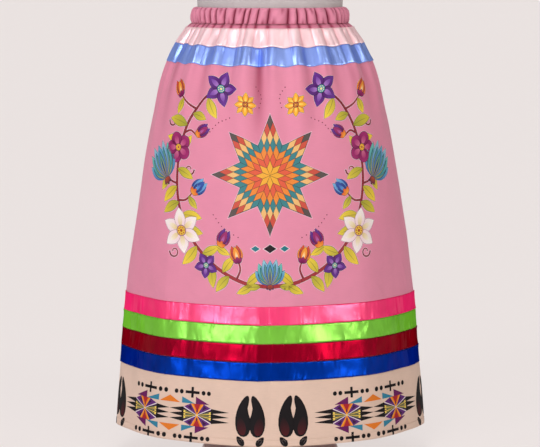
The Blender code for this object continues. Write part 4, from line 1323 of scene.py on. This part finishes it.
# how far its tone, its floats and its swell are drawn out on each axis
TONE_STRETCH, FLOAT_STRETCH, SWELL_STRETCH = (30.0, 12.0, 1.0), (120.0, 2600.0, 1.0), (20.0, 20.0, 15.0)
# the share of a ribbon's turn from the eye at which its shine begins to die away and is gone
SHINE_FADE = (0.06, 0.52)
PUCKER_HEIGHT = 0.0010
PUCKER_REACH = 0.011  # how far a pucker runs in from the stitched edge
PUCKER_LEAN = 260
RIPPLE_ROUNDS = (71, 113, 167, 229)  # ripples once round, of which the puckers are the crests
CREST, CREST_POWER = 2.2, 1.5
DRIFT_ROUNDS, DRIFT, DRIFT_MIDDLE = 17, 0.5, 0.7  # how the puckers grow and shrink on the way round
STITCH_PITCH = 0.0032
STITCH_SIZE = (0.0023, 0.00052, 0.00034)
STITCH_INSET = 0.0016  # from the ribbon's edge
STITCH_STEPS = 3600
# each group of ribbons: the drop of its first, how far its satin swells, its gloss, and how it is held.
# Each ribbon: its colour, the share of its shine that takes its own colour, its roughness, and the
# length it was cut to. The upper ones are gathered up with the skirt
RIBBON_GROUPS = [
    (UPPER_RIBBONS_DROP, 0.25, 0.55, "gathered", {
        "pale_pink": ((247, 212, 217), 0.20, 0.34, 1.200),
        "cornflower": ((140, 166, 236), 0.40, 0.27, 1.320),
    }),
    (LOWER_RIBBONS_DROP, 0.50, 2.2, "laid", {
        "hot_pink": ((252, 42, 112), 0.17, 0.31, 1.680),
        "lime": ((116, 194, 54), 0.28, 0.31, 1.700),
        "crimson": ((140, 2, 32), 0.64, 0.30, 1.715),
        "royal_blue": ((1, 46, 142), 0.64, 0.30, 1.730),
    }),
]


def pucker_height(angle, drop, top, bottom, seed):
    """Short slanting puckers along a ribbon's two stitched edges, none like the next."""
    chance = random.Random(seed)
    height = 0.0
    for edge, side in ((top, 1), (bottom, -1)):
        inside = (drop - edge) * side
        reach = np.exp(-np.maximum(inside, 0) / PUCKER_REACH)
        lean = chance.uniform(-PUCKER_LEAN, PUCKER_LEAN) * inside
        ripple = 0.0
        for around in RIPPLE_ROUNDS:
            ripple = ripple + np.sin(np.radians(around * angle) + chance.uniform(0, 6.28) + lean)
        drift = np.sin(np.radians(DRIFT_ROUNDS * angle) + chance.uniform(0, 6.28)) * DRIFT + DRIFT_MIDDLE
        height = height + PUCKER_HEIGHT * reach * drift * np.maximum(0.0, ripple / CREST) ** CREST_POWER
    return height


def ribbon_place(angle, drop, above=0.0, *, top, seed):
    """The face of a ribbon whose upper edge is at a drop. Its seed gives it puckers of its own."""
    pucker = pucker_height(angle, drop, top, top + RIBBON_WIDTH - SEAM_GAP, seed)
    return cloth_place(angle, drop, SEAM_GAP + pucker + above)


def satin(name, colour, lustre, roughness, swell, gloss):
    """Satin weave: long floats along the ribbon, a soft gloss that swells and sinks with the cloth
    under it, and a faint corded grain."""
    made, tree, shader = new_finish(name + "_satin", roughness, lustre)
    place = cloth_map(tree)
    tone = noise(tree, stretched(tree, place, *TONE_STRETCH), 1.0)
    toned = two_colours(tree, tone, shade(colour, 0.95), shade(colour, 1.04))
    # the ribbon's colour in painted shade, darker and more saturated, where it lies in a hollow
    deep = [255 * (channel / 255) ** RIBBON_SHADE_POWER for channel in colour]
    soft = noise(tree, stretched(tree, body_place(tree), *SWELL_STRETCH), 1.0, 1.4)
    floats = noise(tree, stretched(tree, place, *FLOAT_STRETCH), 1.0, 2.0)
    # the less of the shine is the colour's own, the more of it is the light's, and it dies away where
    # the ribbon turns from the eye
    facing = add_node(tree, "ShaderNodeLayerWeight", [("Blend", 0.5)]).outputs["Facing"]
    start, end = SHINE_FADE
    shine = add_node(tree, "ShaderNodeMapRange", [
        ("Value", facing), ("From Min", start), ("From Max", end),
        ("To Min", gloss * (1 - lustre)), ("To Max", 0.0),
    ])
    tint = blend_colours(colour, (255, 255, 255), (1 - lustre) ** 2)
    set_inputs(tree, shader, [
        ("Base Color", deepened(tree, toned, deep)),
        ("Normal", bump(tree, floats, SATIN_GRAIN, 0.25, bump(tree, soft, SATIN_SWELL, swell))),
        ("Specular IOR Level", shine.outputs["Result"]), ("Specular Tint", screen_colour(*tint)),
    ])
    return made


def stitch_row(place, drop, over):
    """A row of stitches once round at a drop, over a face that place gives: the middle of each, and
    the ways along it, across it and out."""
    def spot(angle, above=0.0):
        return place(angle, np.full(angle.shape, drop), over + above)

    angles = np.linspace(-SEAM_ANGLE, 360.0 - SEAM_ANGLE, STITCH_STEPS + 1)
    arc = np.concatenate([[0.0], np.cumsum(np.linalg.norm(np.diff(spot(angles), axis=0), axis=1))])
    count = int(arc[-1] / STITCH_PITCH)
    middles = (np.arange(count) + 0.5) * arc[-1] / count
    start, middle, end = (np.interp(middles + way * STITCH_SIZE[0] / 2, arc, angles) for way in (-1, 0, 1))
    along, out = spot(end) - spot(start), spot(middle, 0.001) - spot(middle)
    along, out = (way / np.linalg.norm(way, axis=1)[:, None] for way in (along, out))
    return spot(middle), along, np.cross(out, along), out


def stitches(name, rows, finish):
    """One piece with all the stitches of some rows: a small pointed bead of thread for each."""
    middles, along, across, out = (np.concatenate(parts) for parts in zip(*rows))
    mesh, held = bpy.data.meshes.new(name), bpy.data.meshes.new(name)
    bead = bmesh.new()
    bmesh.ops.create_uvsphere(bead, u_segments=4, v_segments=2, radius=1.0)
    bead.to_mesh(mesh)
    bead.free()
    corners = np.empty(len(mesh.vertices) * 3)
    mesh.vertices.foreach_get("co", corners)
    x, y, z = (corners.reshape(-1, 3) * np.array(STITCH_SIZE) / 2).T[:, None, :, None]
    # one bead is doubled again and again, and the doublings that add up to the right number are kept
    many = bmesh.new()
    for bit in reversed(format(len(middles), "b")):
        if bit == "1":
            many.from_mesh(mesh)
        double = bmesh.new()
        double.from_mesh(mesh)
        double.from_mesh(mesh)
        double.to_mesh(mesh)
        double.free()
    many.to_mesh(held)
    many.free()
    places = middles[:, None] + x * along[:, None] + y * across[:, None] + z * out[:, None]
    held.vertices.foreach_set("co", places.ravel())
    held.update()
    return put_in(name, held, finish)


def thread(name, colour):
    inputs = [("Base Color", screen_colour(*colour)), ("Sheen Weight", 0.2)]
    return new_finish(name + "_thread", 0.55, inputs=inputs)[0]


angles = np.linspace(-SEAM_ANGLE, 360.0 - SEAM_ANGLE, RIBBON_COLUMNS + 1)
for first_drop, swell, gloss, held, ribbons in RIBBON_GROUPS:
    for number, (name, (colour, lustre, roughness, cut)) in enumerate(ribbons.items()):
        top = first_drop + number * RIBBON_WIDTH
        bottom = top + RIBBON_WIDTH - SEAM_GAP
        place = partial(ribbon_place, top=top, seed=name)
        drops = np.linspace(top, bottom, RIBBON_ROWS)
        mesh, _, _ = laid_grid(f"ribbon_{name}_satin", angles, drops, place, hollow=cloth_hollow)
        weld_round(mesh)
        finish = satin(name, colour, lustre, roughness, swell, gloss)
        ribbon = put_in(f"ribbon_{name}_satin", mesh, finish, [f"ribbon_{name}"])
        thin_shell(ribbon, RIBBON_SHELL, outward=True)
        sewn_drops = (top + STITCH_INSET, bottom - STITCH_INSET)
        rows = [stitch_row(place, drop, RIBBON_SHELL) for drop in sewn_drops]
        sewing = stitches(f"ribbon_{name}_stitches", rows, thread(name, shade(colour, 0.97)))

# ------------------------------------------------------------------ the waist casing
# The waist's elastic runs in a casing of the same pink cloth, gathered up small: broad round ridges
# with narrow deep valleys between them. One closed roll, seated on the form's waist.

WAIST_HALF_WIDTH = 0.1534
WAIST_HALF_DEPTH = 0.1150
# the casing's section, from its inner lower edge up, over and down the outside: drop, stand-off from
# the form, and how much of each gather shows there
CASING_RINGS = np.array([
    (0.0330, 0.0003, 0.00), (0.0020, 0.0003, 0.00), (0.0000, 0.0026, 0.20), (0.0014, 0.0060, 0.60),
    (0.0070, 0.0094, 0.95), (0.0165, 0.0114, 1.00), (0.0255, 0.0116, 0.95), (0.0305, 0.0104, 0.80),
    (0.0330, 0.0098, 0.75),
])
# the rows between those rings, closer where the section turns, and the columns over each gather
CASING_ROWS = np.array([
    0, 0.5, 1, 1.4, 1.7, 2, 2.3, 2.6, 3, 3.3, 3.6, 4, 4.3, 4.6, 5, 5.3, 5.6, 6, 6.4, 6.7, 7, 7.5, 8,
])
GATHER_SHARES = (
    0.0, 0.02, 0.045, 0.08, 0.13, 0.19, 0.27, 0.36, 0.46, 0.56, 0.66, 0.75, 0.82, 0.88, 0.93, 0.965,
)
VALLEY_DEPTH = 0.0066
RIDGE_ROUNDNESS, RIDGE_UNEVENNESS = 0.52, 0.22
VALLEY_LEAN = 2.4  # degrees, at the most
RIDGE_STEP, LEAN_STEP = 7.7, 12.9898  # radians from one gather to the next, which make them uneven
RIPPLE, RIPPLES_ROUND, RIPPLES_DOWN = 0.0004, 61, 260
LEAST_STAND_OFF = 0.0004
RIDGE_SAG, SAG_MIDDLE, SAG_START, SAG_END = 0.0024, 0.55, 0.016, 0.0300
LAST_RING = len(CASING_RINGS) - 1
SEWN_RINGS = 0.8  # over which its lower edge turns in to the skirt's gathered edge
SEWN_IN = 0.0003  # how far it then lies inside the skirt's face
# valleys that run only part of the way: angle, half width in degrees, depth, and the drop it starts
# from and runs to
PART_VALLEYS = [
    (-64.5, 0.9, 0.0030, 0.033, 0.012), (-39, 1.0, 0.0034, 0.002, 0.021), (-31.5, 0.9, 0.0030, 0.033, 0.014),
    (-24, 1.0, 0.0032, 0.002, 0.018), (-5.6, 1.0, 0.0034, 0.033, 0.016), (2.6, 1.0, 0.0036, 0.033, 0.013),
    (8.4, 1.1, 0.0034, 0.001, 0.019), (24.6, 0.9, 0.0030, 0.033, 0.017), (33.4, 1.0, 0.0034, 0.002, 0.020),
    (42.4, 1.0, 0.0036, 0.033, 0.012), (54.5, 1.1, 0.0036, 0.001, 0.022), (80.6, 1.0, 0.0030, 0.033, 0.015),
    (115.5, 1.0, 0.0032, 0.033, 0.014), (141, 1.0, 0.0034, 0.002, 0.020), (148, 0.9, 0.0030, 0.033, 0.015),
    (174, 1.0, 0.0034, 0.033, 0.014), (184, 1.0, 0.0034, 0.001, 0.018), (188.6, 1.0, 0.0030, 0.033, 0.016),
    (204.5, 0.9, 0.0030, 0.002, 0.018), (213.5, 1.0, 0.0034, 0.033, 0.013), (222.5, 1, 0.0034, 0.002, 0.020),
    (234, 1.1, 0.0036, 0.033, 0.012),
]
# how dark the painted shade in the hollows is: the most, for a gather's valley, and for one that runs part
# of the way
DARKEST_PAINTED_SHADE, VALLEY_PAINTED_SHADE, PART_VALLEY_SHADE, VALLEY_SHADE_POWER = 1.25, 1.8, 0.9 / 0.0036, 1.7
SHADE_FOR_SHOWN = 1.2


def casing_shape(angle, ring):
    """The casing's drop, stand-off, share of each gather, how far round a ridge each place lies, and
    the depth there of the valleys that run only part of the way."""
    drop, stand_off, shown = (np.interp(ring, range(LAST_RING + 1), column) for column in CASING_RINGS.T)
    gather, share = gather_place(angle)
    skewed = share ** (1.0 + RIDGE_UNEVENNESS * np.sin(gather * RIDGE_STEP))
    ridge = np.sin(math.pi * skewed) ** RIDGE_ROUNDNESS
    part = np.zeros(angle.shape)
    for middle, width, depth, start, end in PART_VALLEYS:
        fade = 1 - smoothstep(0.0, 1.0, (drop - start) / (end - start))
        part = np.maximum(part, depth * np.exp(-((turn_from(middle, angle) / width) ** 2)) * fade)
    return drop, stand_off, shown, gather, share, ridge, part


def casing_place(angle, ring):
    drop, stand_off, shown, gather, share, ridge, part = casing_shape(angle, ring)
    ripple = RIPPLE * np.sin(np.radians(angle * RIPPLES_ROUND) + RIPPLES_DOWN * drop)
    height = shown * (GATHER_HEIGHTS[gather] * ridge - VALLEY_DEPTH * (1 - ridge) - part + ripple)
    # the valleys lean one way or the other, and stand still at the seam below
    leans = [VALLEY_LEAN * np.sin((gather + n) * LEAN_STEP) for n in (0, 1)]
    slant = (leans[0] + (leans[1] - leans[0]) * share) * (drop / CASING_DEPTH - 1)
    # the ridges sag a little over the seam, and the valleys are held up at it
    sag = RIDGE_SAG * (ridge - SAG_MIDDLE) * smoothstep(SAG_START, SAG_END, drop) * shown
    stood = np.maximum(stand_off + height, LEAST_STAND_OFF)
    own = oval_place(angle + slant, WAIST_HALF_WIDTH, WAIST_HALF_DEPTH, stood, WAIST_TOP - drop - sag)
    sewn = smoothstep(LAST_RING - SEWN_RINGS, LAST_RING, ring)[..., None]
    return own * (1 - sewn) + cloth_place(angle, CASING_DEPTH + SEAM_GAP, -SEWN_IN) * sewn


# painted shade: the casing's colour darkens in its valleys, most where they are deepest
def casing_hollow(angle, ring):
    _, _, shown, _, _, ridge, part = casing_shape(angle, ring)
    deep = VALLEY_PAINTED_SHADE * (1 - ridge) ** VALLEY_SHADE_POWER + PART_VALLEY_SHADE * part
    return np.minimum(DARKEST_PAINTED_SHADE, deep) * np.minimum(1.0, shown * SHADE_FOR_SHOWN)


angles = []
for start, end in zip(GATHER_VALLEYS, GATHER_VALLEYS[1:]):
    angles += [start + share * (end - start) for share in GATHER_SHARES]
angles.append(GATHER_VALLEYS[-1])
mesh, _, _ = laid_grid("waist_casing_cloth", angles, CASING_ROWS, casing_place, hollow=casing_hollow)
weld_round(mesh, "bridged")
casing = put_in("waist_casing_cloth", mesh, broadcloth, ["waist_casing"])

# ------------------------------------------------------------------ the other stitches
# The gathered seam under the casing is sewn in a darker pink thread, and the turned-up hem in tan.

SEAM_ROW_DROP = 0.0352
SEAM_ROW_OVER = 0.0001
HEM_ROW_OVER = 0.0002 - HEM_LINE_SUNK

seam_row = stitch_row(cloth_place, SEAM_ROW_DROP, SEAM_ROW_OVER)
stitches("casing_seam_stitches", [seam_row], thread("pink", (196, 104, 132)))
hem_row = stitch_row(cloth_place, HEM_LINE, HEM_ROW_OVER)
stitches("hem_stitches", [hem_row], thread("tan", (196, 160, 138)))

# ------------------------------------------------------------------ the floor, the lights, the camera
# A plain pale floor that runs on past the view, under soft lamps: a key on the left, a weaker fill on
# the right, high ones in front, and a box on a boom whose light falls off down the skirt.

FLOOR_COLOUR = (238, 231, 229)
FLOOR_SHADE = (132, 128, 128)
FLOOR_GLOW = 0.79  # its own light, so that the shadows on it stay soft
FLOOR_RADIUS = 400.0
SKY_COLOUR = (248, 243, 241)
SKY_STRENGTH = 0.15
FAR_TONE = (234, 226, 224)  # of the floor as lit, which the camera sees past the floor's edge
COOL_LIGHT, WARM_LIGHT, PLAIN_LIGHT = (251, 250, 255), (255, 249, 242), (255, 250, 246)
# each lamp: its azimuth and elevation, its strength, its spread in degrees, its colour, and whether it
# lights the cloth and shows as a shine. The faces are the soft boxes' fronts, as satin mirrors them
LAMPS = {
    "key": (-37, 9, 1.14, 15, COOL_LIGHT, True, False),
    "fill": (43, 7, 0.52, 12, WARM_LIGHT, True, False),
    "key_face": (-40, 14, 3.2, 38, COOL_LIGHT, False, True),
    "fill_face": (50, 14, 2.2, 30, WARM_LIGHT, False, True),
    "high": (-12, 60, 0.72, 18, PLAIN_LIGHT, True, False),
    "high_right": (34, 52, 0.20, 14, PLAIN_LIGHT, True, False),
    "high_face": (-8, 58, 0.6, 54, PLAIN_LIGHT, False, True),
    "top": (0, 86, 0.12, 70, PLAIN_LIGHT, True, True),
    "behind": (188, 42, 0.62, 80, PLAIN_LIGHT, True, True),
}
BOOM_COLOUR = (255, 249, 246)
BOOM_PLACE = Vector((-0.12, -1.15, WAIST_TOP + 0.62))
BOOM_AIM = Vector((0.0, -0.2, WAIST_TOP - 0.3))
BOOM_POWER = 13.0
BOOM_SPREAD = 54  # degrees
BOOM_RADIUS = 0.22
EYE_PLACE = (0.0, -4.7, WAIST_TOP + 0.10)
EYE_DIP = 6.8  # degrees below level
EYE_LENS, EYE_SENSOR = 147.87, 36.0  # mm

floor_finish, _, _ = new_finish("pale_floor", 0.95, inputs=[
    ("Base Color", screen_colour(*FLOOR_SHADE)), ("Specular IOR Level", 0.0),
    ("Emission Color", screen_colour(*FLOOR_COLOUR)), ("Emission Strength", FLOOR_GLOW),
])
mesh = bpy.data.meshes.new("floor")
builder = bmesh.new()
bmesh.ops.create_circle(builder, cap_ends=True, radius=FLOOR_RADIUS, segments=128)
builder.to_mesh(mesh)
builder.free()
mesh.materials.append(floor_finish)
link_in("floor", mesh)

world = bpy.data.worlds.new("studio")
bpy.context.scene.world = world
world.use_nodes = True
tree = world.node_tree
sky = tree.nodes["Background"]
set_inputs(tree, sky, [("Color", screen_colour(*SKY_COLOUR)), ("Strength", SKY_STRENGTH)])
far = add_node(tree, "ShaderNodeBackground", [("Color", screen_colour(*FAR_TONE)), ("Strength", 1.0)])
seen = add_node(tree, "ShaderNodeLightPath").outputs["Is Camera Ray"]
both = add_node(tree, "ShaderNodeMixShader", [(0, seen), (1, sky.outputs[0]), (2, far.outputs[0])])
set_inputs(tree, tree.nodes["World Output"], [("Surface", both.outputs[0])])


def lamp(name, kind, colour, strength, toward):
    """A light that shines from a direction, which points from the scene toward it."""
    made = link_in(name, bpy.data.lights.new(name, kind))
    made.data.color = screen_colour(*colour)[:3]
    made.data.energy = strength
    made.rotation_mode = "QUATERNION"
    made.rotation_quaternion = toward.to_track_quat("Z", "Y")
    return made


for name, (azimuth, elevation, strength, spread, colour, lights, shines) in LAMPS.items():
    turn, rise = math.radians(azimuth), math.radians(elevation)
    toward = Vector((math.sin(turn) * math.cos(rise), -math.cos(turn) * math.cos(rise), math.sin(rise)))
    sun = lamp(name, "SUN", colour, strength, toward)
    sun.data.angle = math.radians(spread)
    sun.visible_diffuse = lights
    sun.visible_glossy = shines

boom = lamp("boom", "SPOT", BOOM_COLOUR, BOOM_POWER, BOOM_PLACE - BOOM_AIM)
boom.data.spot_size = math.radians(BOOM_SPREAD)
boom.data.spot_blend = 1.0
boom.data.shadow_soft_size = BOOM_RADIUS
boom.location = BOOM_PLACE
boom.visible_glossy = False

eye = link_in("camera", bpy.data.cameras.new("camera"))
eye.data.sensor_width = EYE_SENSOR
eye.data.lens = EYE_LENS
eye.location = EYE_PLACE
eye.rotation_euler = (math.radians(90 - EYE_DIP), 0.0, 0.0)
bpy.context.scene.camera = eye
bpy.context.scene.view_settings.view_transform = "Standard"
